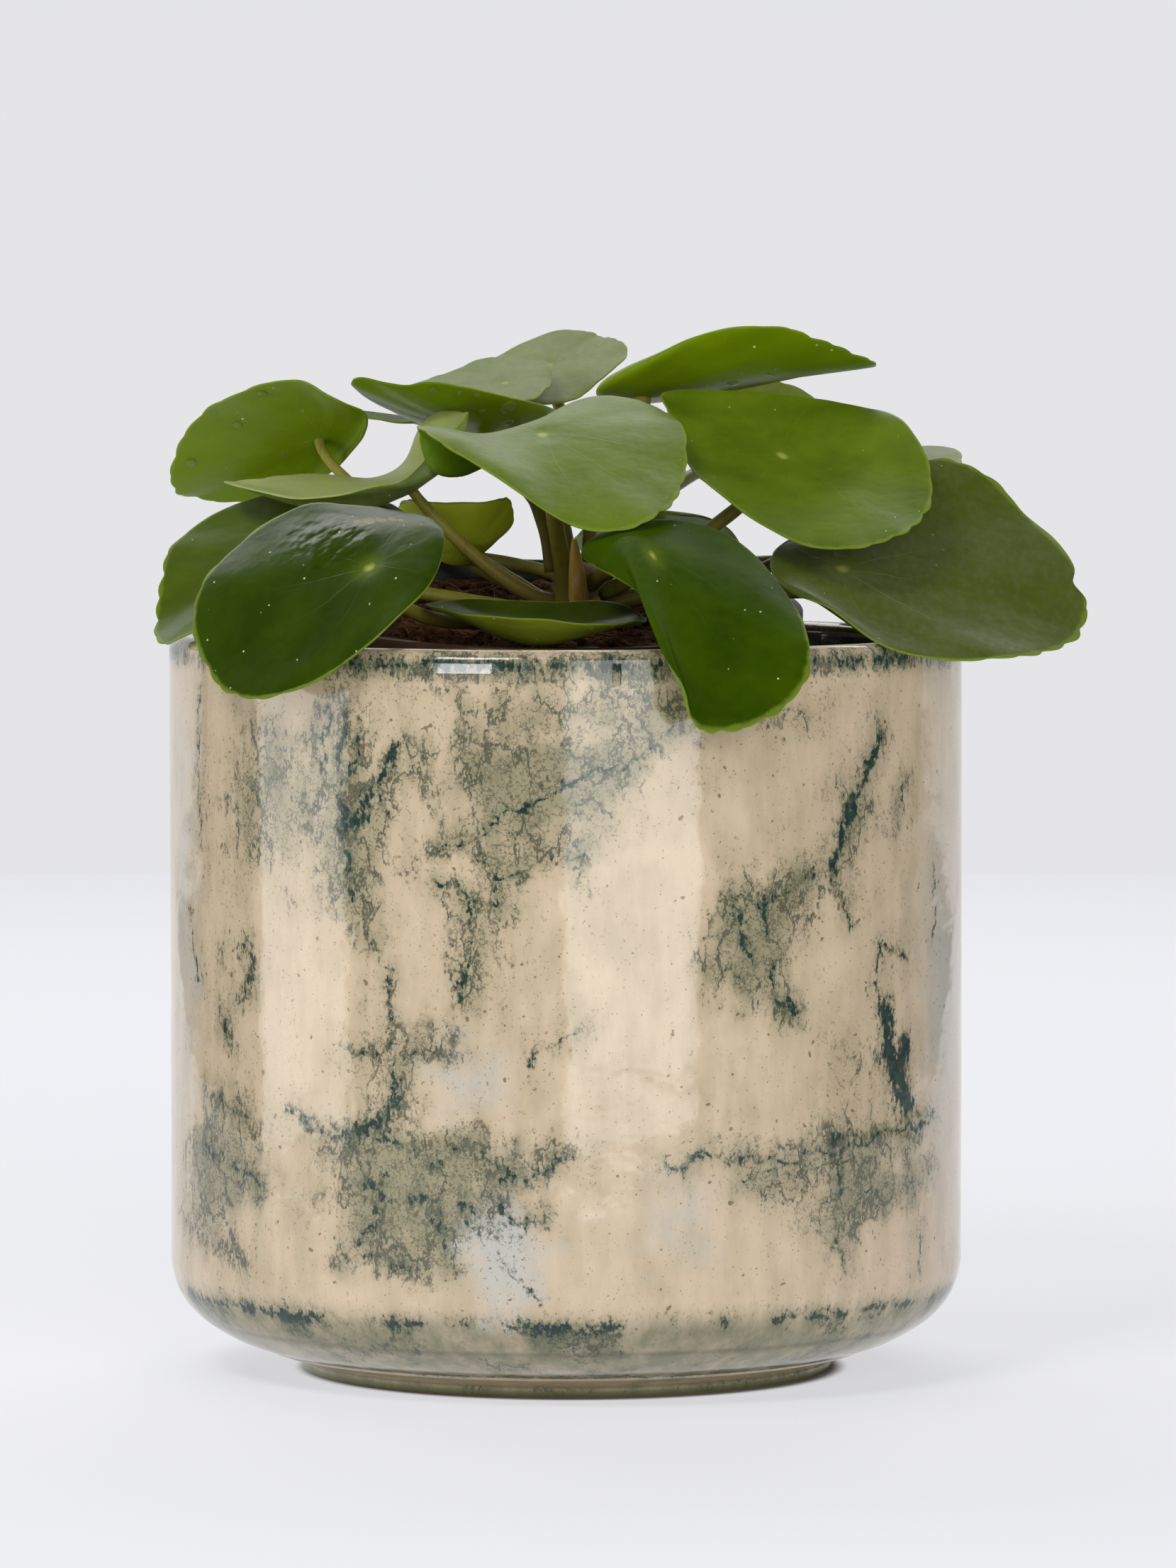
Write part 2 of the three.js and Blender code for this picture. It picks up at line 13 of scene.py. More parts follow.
import bpy
import numpy as np
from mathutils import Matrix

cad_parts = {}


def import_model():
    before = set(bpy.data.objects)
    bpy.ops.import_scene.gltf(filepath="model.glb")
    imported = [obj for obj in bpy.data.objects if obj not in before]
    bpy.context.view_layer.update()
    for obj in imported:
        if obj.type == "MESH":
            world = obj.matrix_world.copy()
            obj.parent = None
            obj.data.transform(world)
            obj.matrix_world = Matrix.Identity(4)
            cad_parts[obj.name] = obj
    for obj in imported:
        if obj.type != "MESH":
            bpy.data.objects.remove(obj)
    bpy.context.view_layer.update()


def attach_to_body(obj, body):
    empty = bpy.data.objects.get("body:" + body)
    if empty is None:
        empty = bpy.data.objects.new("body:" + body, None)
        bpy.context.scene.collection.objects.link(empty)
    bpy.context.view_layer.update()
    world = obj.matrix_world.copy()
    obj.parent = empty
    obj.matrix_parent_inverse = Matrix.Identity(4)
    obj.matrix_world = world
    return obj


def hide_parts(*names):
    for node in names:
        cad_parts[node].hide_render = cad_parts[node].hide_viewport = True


LOG = logging.getLogger("pilea")
MM = 0.001
BODY = "root"
# A Mix node has sockets for numbers, vectors and colours; these are the numbers of the colours' own.
MIX_FACTOR, MIX_FIRST, MIX_SECOND, MIX_COLOUR = 0, 6, 7, 2
HALF = (0.5, 0.5, 0.5)
BLACK = (0.0, 0.0, 0.0)
FIRST_LEAF_SEED = 100

Point = tuple[float, float, float]
Colour = tuple[float, float, float]
Pair = tuple[float, float]
Face = tuple[int, ...]
Places = Union[float, np.ndarray]
Source = Union[float, Sequence[float], "Value", bpy.types.NodeSocket]


def arithmetic(operation: str, turned_round: bool = False) -> Callable[..., "Value"]:
    """Make a method that adds one Math node.

    Args:
        operation: The node's operation.
        turned_round: Whether the other number goes before the method's own.

    Returns:
        The method.
    """
    def method(own: "Value", *others: Source) -> "Value":
        """Return the node's result."""
        numbers = (*others, own) if turned_round else (own, *others)
        return own.shader.math(operation, *numbers)

    return method


class Value:
    """A number in a material's node tree, on which arithmetic adds Math nodes."""

    def __init__(self, shader: "Shader", socket: bpy.types.NodeSocket) -> None:
        """Wrap an output of the shader's tree."""
        self.shader = shader
        self.socket = socket

    __add__ = __radd__ = arithmetic("ADD")
    __sub__ = arithmetic("SUBTRACT")
    __rsub__ = arithmetic("SUBTRACT", turned_round=True)
    __mul__ = __rmul__ = arithmetic("MULTIPLY")
    __truediv__ = arithmetic("DIVIDE")
    __abs__ = arithmetic("ABSOLUTE")
    larger = arithmetic("MAXIMUM")
    smaller = arithmetic("MINIMUM")
    sine = arithmetic("SINE")

    def step(self, low: float, high: float) -> "Value":
        """Ramp smoothly from 0 at low to 1 at high.

        Args:
            low: Where the ramp is 0.
            high: Where the ramp is 1. It may be under low, which turns the ramp round.

        Returns:
            The ramp, kept between 0 and 1.
        """
        ends = {"From Min": min(low, high), "From Max": max(low, high)}
        if high < low:
            ends |= {"To Min": 1.0, "To Max": 0.0}
        ramp = {"interpolation_type": "SMOOTHSTEP"}
        return self.shader.value("ShaderNodeMapRange", ramp, {"Value": self, **ends})


class Shader:
    """One material's node tree, built by code."""

    def __init__(self, name: str) -> None:
        """Make an empty material of that name."""
        self.material = bpy.data.materials.new(name)
        self.material.use_nodes = True
        self.tree = self.material.node_tree
        self.tree.nodes.clear()

    def node(self, kind: str, settings: dict | None = None, feeds: dict | None = None) -> bpy.types.Node:
        """Add a node of any type.

        Args:
            kind: The node's type.
            settings: Its properties, which are set first.
            feeds: Values or links, by the name or the number of its sockets.

        Returns:
            The new node.
        """
        node = self.tree.nodes.new(kind)
        for name, setting in (settings or {}).items():
            setattr(node, name, setting)
        for name, source in (feeds or {}).items():
            self.feed(node.inputs[name], source)
        return node

    def feed(self, socket: bpy.types.NodeSocket, source: Source) -> None:
        """Link a source to a socket, or set the socket's own value.

        Args:
            socket: The input to feed.
            source: A value, a socket, a number or a colour.
        """
        if isinstance(source, Value):
            self.tree.links.new(source.socket, socket)
        elif isinstance(source, bpy.types.NodeSocket):
            self.tree.links.new(source, socket)
        elif isinstance(source, (tuple, list)) and socket.type == "RGBA" and len(source) == 3:
            socket.default_value = (*source, 1.0)
        else:
            socket.default_value = source

    def value(self, kind: str, settings: dict | None = None, feeds: dict | None = None,
              output: int | str = 0) -> Value:
        """Add a node and return one of its outputs, by name or number."""
        return Value(self, self.node(kind, settings, feeds).outputs[output])

    def math(self, operation: str, *sources: Source) -> Value:
        """Add a Math node on numbers and return its result."""
        return self.value("ShaderNodeMath", {"operation": operation}, dict(enumerate(sources)))

    def vector(self, operation: str, *sources: Source, output: int = 0) -> Value:
        """Add a Vector Math node and return its vector (output 0) or number (1)."""
        return self.value("ShaderNodeVectorMath", {"operation": operation}, dict(enumerate(sources)), output)

    def mix(self, factor: Source, first: Source, second: Source) -> bpy.types.NodeSocket:
        """Mix two colours.

        Args:
            factor: 0 for the first, 1 for the second.
            first: A colour.
            second: A colour.

        Returns:
            The mixed colour.
        """
        settings = {"data_type": "RGBA", "clamp_factor": True}
        feeds = {MIX_FACTOR: factor, MIX_FIRST: first, MIX_SECOND: second}
        return self.node("ShaderNodeMix", settings, feeds).outputs[MIX_COLOUR]

    def coats(self, colour: Source, *coats: tuple[Source, Source]) -> Source:
        """Lay coats over a colour.

        Args:
            colour: The ground.
            coats: How much of each coat shows, and its colour, in the order that they are laid.

        Returns:
            The colour that is seen.
        """
        for share, coat in coats:
            colour = self.mix(share, colour, coat)
        return colour

    def length(self, vector: Source) -> Value:
        """Return a vector's length."""
        return self.vector("LENGTH", vector, output=1)

    def millimetres(self) -> Value:
        """Return the point's place on the object, in millimetres."""
        place = self.node("ShaderNodeTexCoord").outputs["Object"]
        return self.scaled(place, 1 / MM)

    def scaled(self, vector: Source, scale: Source) -> Value:
        """Return a vector times a number."""
        return self.value("ShaderNodeVectorMath", {"operation": "SCALE"}, {0: vector, "Scale": scale})

    def split(self, vector: Source) -> tuple[Value, ...]:
        """Return a vector's three numbers."""
        parts = self.node("ShaderNodeSeparateXYZ", None, {0: vector}).outputs
        return tuple(Value(self, part) for part in parts)

    def noise(self, place: Value, size: float, detail: float, rough: float = 0.5,
              stretch: Point = (1.0, 1.0, 1.0), colour: bool = False) -> Value:
        """Add soft noise.

        Args:
            place: Where it is read, in millimetres.
            size: The size of its lumps, in millimetres.
            detail: How many finer layers it has.
            rough: How strong the finer layers are.
            stretch: How much longer its lumps are along each axis.
            colour: Whether three numbers are wanted instead of one.

        Returns:
            The noise, about 0.5.
        """
        scale = tuple(1 / (size * part) for part in stretch)
        scaled = self.vector("MULTIPLY", place, scale)
        feeds = {"Vector": scaled, "Scale": 1.0, "Detail": detail, "Roughness": rough}
        return self.value("ShaderNodeTexNoise", None, feeds, "Color" if colour else "Fac")

    def cells(self, place: Value, size: float, feature: str = "F1", output: str = "Distance") -> Value:
        """Add a pattern of cells, size being that of a cell in millimetres."""
        feeds = {"Vector": self.vector("MULTIPLY", place, (1 / size,) * 3), "Scale": 1.0}
        return self.value("ShaderNodeTexVoronoi", {"feature": feature}, feeds, output)

    def bump(self, height: Value, depth: float, strength: float) -> bpy.types.NodeSocket:
        """Turn a height into a normal, a height of 1 being as deep as depth, in millimetres."""
        feeds = {"Strength": strength, "Distance": depth * MM, "Height": height}
        return self.node("ShaderNodeBump", None, feeds).outputs[0]

    def finish(self, **sockets: Source) -> bpy.types.Material:
        """Close the tree with a Principled BSDF.

        Args:
            sockets: What feeds its sockets; an underscore stands for a blank in a name.

        Returns:
            The finished material.
        """
        feeds = {name.replace("_", " "): source for name, source in sockets.items()}
        surface = self.node("ShaderNodeBsdfPrincipled", None, feeds)
        self.node("ShaderNodeOutputMaterial", None, {"Surface": surface.outputs[0]})
        return self.material


@dataclass
class Skin:
    """A mesh in the making: its corners in millimetres and its faces."""

    corners: list[np.ndarray] = field(default_factory=list)
    faces: list[Face] = field(default_factory=list)
    finishes: list[int] = field(default_factory=list)
    uvs: list[np.ndarray] = field(default_factory=list)
    count: int = 0

    def add(self, corners: np.ndarray, faces: Iterable[Face], finish: int = 0,
            uv: np.ndarray | None = None) -> int:
        """Add corners and faces.

        Args:
            corners: Points, in millimetres.
            faces: Corner numbers, counted from the first corner added.
            finish: The material number of these faces.
            uv: A pair of numbers for each corner, given for all of a mesh or for none of it.

        Returns:
            The number of the first corner added.
        """
        first = self.count
        self.corners.append(corners)
        if uv is not None:
            self.uvs.append(uv)
        self.count += len(corners)
        added = [tuple(first + number for number in face) for face in faces]
        self.faces.extend(added)
        self.finishes.extend([finish] * len(added))
        return first

    def build(self, name: str, materials: Sequence[bpy.types.Material], slot: str,
              *nodes: str) -> bpy.types.Object:
        """Make the object, ride it on the pot and let it stand for its solids.

        Args:
            name: The piece's name.
            materials: Its materials, in the order of their numbers.
            slot: The record's material slot; not used.
            nodes: The solids that it stands for.

        Returns:
            The finished piece.
        """
        mesh = new_mesh(name, np.concatenate(self.corners) * MM, self.faces)
        mesh.polygons.foreach_set("material_index", self.finishes)
        mesh.polygons.foreach_set("use_smooth", [True] * len(self.faces))
        if self.uvs:
            corners = np.empty(len(mesh.loops), dtype=np.int32)
            mesh.loops.foreach_get("vertex_index", corners)
            pairs = np.concatenate(self.uvs)[corners].astype(np.float32)
            mesh.uv_layers.new(name="leaf").data.foreach_set("uv", pairs.ravel())
        for material in materials:
            mesh.materials.append(material)
        mesh.update()
        piece = new_object(name, mesh)
        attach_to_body(piece, BODY)
        if nodes:
            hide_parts(*nodes)
        LOG.info("%s: %d faces", name, len(self.faces))
        return piece


def new_mesh(name: str, corners: np.ndarray, faces: Sequence[Face]) -> bpy.types.Mesh:
    """Make a mesh.

    Args:
        name: Its name.
        corners: Its corners, in metres.
        faces: Its faces.

    Returns:
        The mesh.
    """
    mesh = bpy.data.meshes.new(name)
    mesh.from_pydata(corners.tolist(), [], faces)
    return mesh


def new_object(name: str, data: bpy.types.ID) -> bpy.types.Object:
    """Make an object and put it in the scene.

    Args:
        name: Its name.
        data: Its mesh, light or camera.

    Returns:
        The object.
    """
    made = bpy.data.objects.new(name, data)
    bpy.context.scene.collection.objects.link(made)
    return made


def angles_round(count: int) -> np.ndarray:
    """Return evenly spaced angles all the way round, in radians."""
    return np.linspace(0, 2 * math.pi, count, endpoint=False)


def grid_faces(rows: int, columns: int, first: int = 0, flip: bool = False) -> list[Face]:
    """Number the faces of a grid whose corners run round it, row by row.

    Args:
        rows: How many rows of corners it has.
        columns: How many corners a row has.
        first: The number of its first corner.
        flip: Whether its faces look the other way.

    Returns:
        The faces.
    """
    faces = []
    for row in range(first, first + (rows - 1) * columns, columns):
        for column in range(columns):
            beside = (column + 1) % columns
            face = (row + column, row + beside, row + columns + beside, row + columns + column)
            faces.append(face[::-1] if flip else face)
    return faces


def closed_faces(rows: int, columns: int, flip: bool = False) -> list[Face]:
    """Number the faces of a grid that is closed at both ends by a corner of its own.

    Args:
        rows: How many rows of corners it has, the two end corners following them.
        columns: How many corners a row has.
        flip: Whether its faces look the other way.

    Returns:
        The faces.
    """
    faces = grid_faces(rows, columns, flip=flip)
    low, last = rows * columns, (rows - 1) * columns
    for column in range(columns):
        beside = (column + 1) % columns
        for face in ((low, beside, column), (low + 1, last + column, last + beside)):
            faces.append(face[::-1] if flip else face)
    return faces


def turned(profile: Sequence[Pair], columns: int, place: Callable[[np.ndarray], np.ndarray]) -> Skin:
    """Turn a closed profile round the Z axis.

    Args:
        profile: Pairs of radius and height, in millimetres, from the axis and back to it, outside first.
        columns: How many steps round it has.
        place: Moves the corners to where they stand.

    Returns:
        The turned form.
    """
    angles = angles_round(columns)
    radius, height = np.array(profile[1:-1])[:, :, None].transpose(1, 0, 2)
    rows = np.stack([radius * np.cos(angles), radius * np.sin(angles), height + 0 * angles], -1)
    ends = np.array([[0, 0, profile[0][1]], [0, 0, profile[-1][1]]], float)
    skin = Skin()
    skin.add(place(np.concatenate([rows.reshape(-1, 3), ends])), closed_faces(len(radius), columns))
    return skin


def arc(centre: Pair, radius: float, start: float, end: float, steps: int) -> list[Pair]:
    """Make points along part of a circle, between two angles in degrees."""
    angles = [math.radians(start + (end - start) * i / steps) for i in range(steps + 1)]
    return [(centre[0] + radius * math.cos(a), centre[1] + radius * math.sin(a)) for a in angles]


def between(first: Pair, last: Pair, steps: int) -> list[Pair]:
    """Make evenly spaced points from just after the first pair to the last."""
    shares = [i / steps for i in range(1, steps + 1)]
    return [(first[0] + (last[0] - first[0]) * k, first[1] + (last[1] - first[1]) * k) for k in shares]


def smooth(route: Sequence[Pair], steps: int) -> list[Pair]:
    """Make points along a smooth line through all points of a route but its first and last.

    Args:
        route: The points, of which the first and the last only give the line its direction.
        steps: How many steps there are from one point to the next.

    Returns:
        The points, without the last one.
    """
    points = []
    for before, start, end, after in zip(route, route[1:], route[2:], route[3:]):
        for u in (step / steps for step in range(steps)):
            points.append(tuple(
                b + 0.5 * u * (c - a + u * (2 * a - 5 * b + 4 * c - d + u * (3 * (b - c) + d - a)))
                for a, b, c, d in zip(before, start, end, after)
            ))
    return points


@dataclass(frozen=True)
class Stroke:
    """A dark mark in the glaze: a line through points given as degrees round the pot and height."""

    points: tuple[Pair, ...]
    width: float
    strength: float = 1.0
    wash: float = 1.0


@dataclass(frozen=True)
class Cloud:
    """A stained patch of glaze: its middle as degrees and height, its half width and half height in mm."""

    middle: Pair
    reach: Pair
    strength: float = 1.0


@dataclass(frozen=True)
class GlazeFinish:
    """Cream glaze over stoneware, with brown speckle, fine crackle, olive clouds and dark teal marks."""

    cream: Colour = (0.63, 0.500, 0.350)
    khaki: Colour = (0.36, 0.300, 0.185)
    wash: Colour = (0.235, 0.235, 0.145)
    sage: Colour = (0.150, 0.165, 0.092)
    milk: Colour = (0.50, 0.51, 0.49)
    teal: Colour = (0.006, 0.024, 0.026)
    green: Colour = (0.014, 0.046, 0.034)
    speckle: Colour = (0.13, 0.085, 0.045)
    hair: Colour = (0.035, 0.050, 0.038)
    moss: Colour = (0.105, 0.120, 0.065)
    foot: Colour = (0.40, 0.300, 0.185)
    # the inside of the pot is painted dark: partly painted shade, partly a guessed dark inner glaze
    inside: Colour = (0.050, 0.036, 0.020)
    # painted shade: a darker olive laid on the lowest 1.7 mm of the foot, where the pot meets the floor
    painted_foot_shade: Colour = (0.12, 0.14, 0.05)
    clay: Colour = (0.36, 0.27, 0.17)
    radius: float = 75.0
    roughness: float = 0.095
    back_drop: float = 16.0
    back_depth: float = 70.0
    inner_radius: float = 70.0
    rim_line: float = 136.6
    shoulder_line: float = 16.2
    groove_line: float = 4.7
    bare_line: float = 1.9
    bulge_top: float = 137.1
    bulge_slope: float = 0.86
    bulges: tuple[Pair, ...] = ((-14.5, 7.0), (-5.1, 1.4), (7.2, 0.9))
    strokes: tuple[Stroke, ...] = (
        Stroke(((-35.5, 128), (-36.5, 118), (-38, 109)), 0.55, 1.0),
        Stroke(((-32.5, 129), (-33.5, 118), (-33, 106)), 0.75, 1.0, 1.4),
        Stroke(((-30, 126), (-31, 114)), 0.6, 0.8, 1.4),
        Stroke(((-24, 123), (-26, 116), (-29, 112), (-32, 107)), 0.85, 1.15),
        Stroke(((-27, 114), (-26, 110)), 0.6, 1.0),
        Stroke(((-32.5, 103), (-31.5, 94)), 0.55, 1.0),
        Stroke(((-31.5, 94), (-28, 86), (-26, 79)), 0.35, 0.62),
        Stroke(((-65, 131), (-65.5, 112), (-64, 100)), 0.6, 0.8),
        Stroke(((-68, 88), (-67, 76)), 0.6, 0.75),
        Stroke(((15, 125), (8, 119), (2, 116), (-6, 112), (-12, 106), (-18, 103)), 0.40, 0.95, 1.7),
        Stroke(((-12, 103), (-10, 100), (-9, 96)), 0.8, 0.85, 1.5),
        Stroke(((-9, 98), (-3, 102), (2, 103), (1, 97)), 0.40, 0.78, 1.6),
        Stroke(((-18, 97), (-15, 96), (-13, 92), (-10, 93), (-9, 97)), 0.55, 0.85, 1.4),
        Stroke(((-13, 92), (-13, 86), (-15, 76)), 0.6, 0.95),
        Stroke(((-17, 95), (-16.5, 88), (-15.5, 78)), 0.35, 0.7),
        Stroke(((50.5, 123), (47, 115), (44, 108), (42, 100)), 0.7, 1.1, 1.2),
        Stroke(((44, 108), (43, 113), (41, 115)), 0.35, 0.75, 1.2),
        Stroke(((42, 101), (41, 98)), 1.5, 1.1, 1.2),
        Stroke(((41, 99), (36, 97), (32, 95), (29, 93)), 1.0, 0.72, 1.8),
        Stroke(((29, 95), (29, 89)), 0.6, 0.9, 1.5),
        Stroke(((42.5, 94), (45, 88)), 0.7, 0.9),
        Stroke(((25, 92), (25.5, 87), (27, 82)), 0.55, 0.95, 1.5),
        Stroke(((21, 80), (24, 81), (26, 78)), 0.8, 0.65, 1.6),
        Stroke(((30, 82), (31.5, 76), (33.5, 72)), 0.6, 0.95, 1.5),
        Stroke(((57, 115), (57, 108)), 0.4, 0.8),
        Stroke(((66, 98), (66, 84)), 0.5, 0.7),
        Stroke(((51, 84), (50.5, 78), (51.5, 71)), 0.4, 1.0),
        Stroke(((51, 83), (56, 82), (58, 79)), 0.6, 0.85),
        Stroke(((52, 70), (53.5, 64), (57, 54)), 1.5, 1.5, 0.8),
        Stroke(((57, 66), (56, 60)), 1.1, 1.3, 0.8),
        Stroke(((-53, 84), (-50, 80), (-52, 75)), 1.0, 0.85),
        Stroke(((-57, 69), (-56, 66)), 0.8, 1.0),
        Stroke(((-26, 80), (-25.5, 70), (-24, 64), (-25, 57), (-26, 52)), 0.6, 1.0, 1.3),
        Stroke(((-31, 65.5), (-17, 65.8)), 0.8, 0.66, 1.2),
        Stroke(((-4.5, 66), (-4.5, 62)), 0.9, 0.9, 1.3),
        Stroke(((-4, 65), (0, 69), (2, 72)), 0.35, 0.7, 1.3),
        Stroke(((-24, 58), (-29, 52), (-33, 49)), 1.7, 1.0, 1.2),
        Stroke(((-43, 53), (-36, 51), (-28, 50), (-22, 47)), 1.0, 0.85, 1.5),
        Stroke(((-21, 45), (-14, 48), (-8, 45)), 0.9, 0.7, 1.6),
        Stroke(((-9, 44), (-3, 45), (1, 48)), 1.1, 0.85, 1.4),
        Stroke(((-30, 42), (-26, 42), (-27, 37), (-30, 30)), 0.9, 0.85, 1.7),
        Stroke(((-22, 40), (-18, 38), (-17, 30)), 1.0, 0.85, 1.7),
        Stroke(((-15, 41), (-13, 33)), 0.8, 0.80, 1.7),
        Stroke(((-33, 28), (-25, 27), (-20, 26)), 0.6, 0.75, 1.4),
        Stroke(((-9, 37), (-7, 33), (-4, 36)), 0.7, 0.85, 1.4),
        Stroke(((-61, 55), (-52, 52)), 1.2, 0.75, 1.4),
        Stroke(((-64, 44), (-57, 43), (-50, 41)), 1.6, 0.72, 1.6),
        Stroke(((-75, 31), (-64, 28), (-52, 24)), 0.35, 0.75),
        Stroke(((15, 45), (20, 47.5), (25, 45.5), (33, 45), (40, 46), (47, 48), (56, 49), (66, 51)),
               0.55, 0.95, 1.6),
        Stroke(((24, 43), (33, 42.5), (42, 45), (50, 44)), 0.35, 0.8, 1.4),
        Stroke(((41, 49), (44, 50), (47, 49)), 1.2, 1.0, 1.2),
        Stroke(((43, 46), (43, 38), (42, 30), (44, 24)), 0.5, 0.85, 1.8),
        Stroke(((45, 39), (55, 38), (66, 41)), 0.35, 0.6, 1.4),
        Stroke(((62, 30), (61, 22)), 0.5, 0.85, 1.3),
        Stroke(((-9, 27), (-4, 22), (-2, 17)), 0.45, 0.7),
    )
    clouds: tuple[Cloud, ...] = (
        Cloud((-5, 117), (38, 20), 1.25),
        Cloud((4, 130), (70, 10), 1.0),
        Cloud((-46, 112), (30, 26), 1.15),
        Cloud((-30, 100), (18, 26), 0.8),
        Cloud((-56, 66), (16, 60), 0.45),
        Cloud((29, 88), (17, 22), 0.9),
        Cloud((50, 108), (26, 26), 0.55),
        Cloud((-21, 40), (32, 19), 1.3),
        Cloud((-60, 40), (24, 20), 1.2),
        Cloud((46, 42), (42, 16), 0.85),
        Cloud((-20, 66), (20, 14), 0.5),
        Cloud((-12, 84), (14, 20), 0.55),
        Cloud((48, 62), (24, 18), 0.5),
    )
    milky: tuple[Cloud, ...] = (
        Cloud((-9, 28), (11, 12), 1.3),
        Cloud((-14, 62), (10, 9), 0.6),
        Cloud((70, 75), (16, 50), 0.9),
        Cloud((-72, 90), (9, 60), 0.8),
        Cloud((16, 36), (9, 12), 0.5),
    )

    def spot(self, degrees: float, height: float) -> Point:
        """Lay a place given as degrees from the front and height on the unrolled wall."""
        return math.radians(degrees) * self.radius, height, 0.0

    def stroke_fields(self, shader: Shader, place: Value) -> tuple[Value, Value]:
        """Measure how near each point is to the marks.

        Args:
            shader: The shader to build in.
            place: Where the glaze is read, on the unrolled wall.

        Returns:
            How strongly a mark covers the point, and how strongly the wash round it does.
        """
        marks: Value | None = None
        washes: Value | None = None
        for stroke in self.strokes:
            nearest: Value | None = None
            for start, end in zip(stroke.points, stroke.points[1:]):
                start, end = self.spot(*start), self.spot(*end)
                run = tuple(b - a for a, b in zip(start, end))
                square = sum(part * part for part in run)
                out = shader.vector("SUBTRACT", place, start)
                dot = shader.vector("DOT_PRODUCT", out, tuple(part / square for part in run), output=1)
                along = shader.value("ShaderNodeClamp", None, {0: dot})
                distance = shader.vector("DISTANCE", out, shader.scaled(run, along), output=1)
                nearest = distance if nearest is None else nearest.smaller(distance)
            mark = nearest * (-0.42 / stroke.width) + stroke.strength
            wash = nearest * (-0.6 * stroke.wash / (stroke.width * 2 + 5)) + 0.6 * stroke.wash
            marks = mark if marks is None else marks.larger(mark)
            washes = wash if washes is None else washes.larger(wash)
        return marks, washes.larger(0.0)

    def cloud_field(self, shader: Shader, place: Value, clouds: Sequence[Cloud]) -> Value:
        """Measure how deep each point lies in the patches.

        Args:
            shader: The shader to build in.
            place: Where the glaze is read, on the unrolled wall.
            clouds: The patches.

        Returns:
            0 outside them, up to their strength inside.
        """
        total: Value | None = None
        for cloud in clouds:
            out = shader.vector("SUBTRACT", place, self.spot(*cloud.middle))
            out = shader.vector("MULTIPLY", out, (1 / cloud.reach[0], 1 / cloud.reach[1], 0.0))
            depth = shader.length(out) * -cloud.strength + cloud.strength
            total = depth if total is None else total.larger(depth)
        return total.larger(0.0)

    def material(self) -> bpy.types.Material:
        """Build the finish.

        Returns:
            The material.
        """
        shader = Shader("glaze")
        place = shader.millimetres()
        x, y, z = shader.split(place)
        side = shader.math("ARCTAN2", x, abs(y)) * self.radius
        unrolled_height = z + y.step(0.0, self.back_depth) * self.back_drop
        flat = shader.value("ShaderNodeCombineXYZ", None, {0: side, 1: unrolled_height})
        wobble = shader.vector("SUBTRACT", shader.noise(place, 8.0, 2.0, 0.6, colour=True), HALF)
        fine = shader.vector("SUBTRACT", shader.noise(place, 1.5, 2.0, 0.65, colour=True), HALF)
        warped = shader.vector("MULTIPLY_ADD", wobble, (8.5, 8.5, 0.0), flat)
        warped = shader.vector("MULTIPLY_ADD", fine, (2.6, 2.6, 0.0), warped)
        marks, washes = self.stroke_fields(shader, warped)
        loose = shader.vector("MULTIPLY_ADD", wobble, (22.0, 22.0, 0.0), flat)
        clouds = self.cloud_field(shader, loose, self.clouds)
        milk = self.cloud_field(shader, loose, self.milky)

        patches = shader.noise(place, 15.0, 3.0, 0.6)
        streaky = shader.noise(place, 5.0, 4.0, 0.62, (1.0, 1.0, 3.5))
        grit = shader.noise(place, 1.0, 3.0, 0.7, (1.0, 1.0, 1.7))
        dust = shader.noise(place, 0.55, 2.0, 0.7, (1.0, 1.0, 2.0))
        rim = (1 - abs(z - self.rim_line) / 3.4) * (patches * 1.8 - 0.05)
        shoulder = 1 - abs(z - self.shoulder_line + (patches - 0.5) * 5.0) / 2.9
        shoulder = shoulder * patches.step(0.38, 0.58)
        groove = (1 - abs(z - self.groove_line) / 0.7) * streaky.step(0.35, 0.5)
        marks = marks * (streaky * 1.9 - 0.05)
        marks = marks.larger(rim * streaky * 1.75).larger(shoulder * streaky * 2.1).larger(groove)
        cover = (marks + (grit - 0.5) * 2.8 - 0.56).step(0.0, 0.35)

        chamfer = z.step(20.0, 14.0)
        stain = washes * 0.75 + clouds + rim.larger(0.0) * 1.3 + chamfer * patches.step(0.40, 0.62) * 0.7
        thick = (stain * (streaky * 1.5 + 0.15)).smaller(1.0)
        veil = (patches * 0.7 + streaky * 0.8 - 0.75).step(-0.16, 0.22)
        worn = thick * 1.1 + marks.larger(0.0) * 0.5 + (patches - 0.5) * 1.4 - 0.38
        threads = abs(shader.noise(place, 8.0, 5.0, 0.64, (1.0, 1.0, 1.7)) - 0.5).step(0.026, 0.006)
        threads = threads * (worn + (grit - 0.5) * 1.2).step(0.0, 0.35)
        bent = shader.vector("MULTIPLY_ADD", fine, (4.5, 4.5, 4.5), place)
        edge = shader.cells(bent, 3.2, "DISTANCE_TO_EDGE")
        hairs = edge.step(0.060, 0.012) * (worn + (grit - 0.5) * 3.0).step(0.05, 0.45)
        smoke = (worn * 0.8 + (dust - 0.5) * 2.2 + (streaky - 0.5) * 1.5 - 0.42).step(0.0, 0.7)
        crumbs = shader.noise(place, 0.6, 1.0, 0.6)
        dots = (crumbs + thick * 0.10 + patches * 0.10 - 0.745).step(0.0, 0.06)
        flecks = shader.noise(place, 1.7, 1.0, 0.5)
        halo = (marks + (dust - 0.5) * 2.6 + (grit - 0.5) * 1.6 - 0.16).step(0.0, 0.75)
        deep = shader.mix(flecks.step(0.45, 0.6), self.teal, self.green)
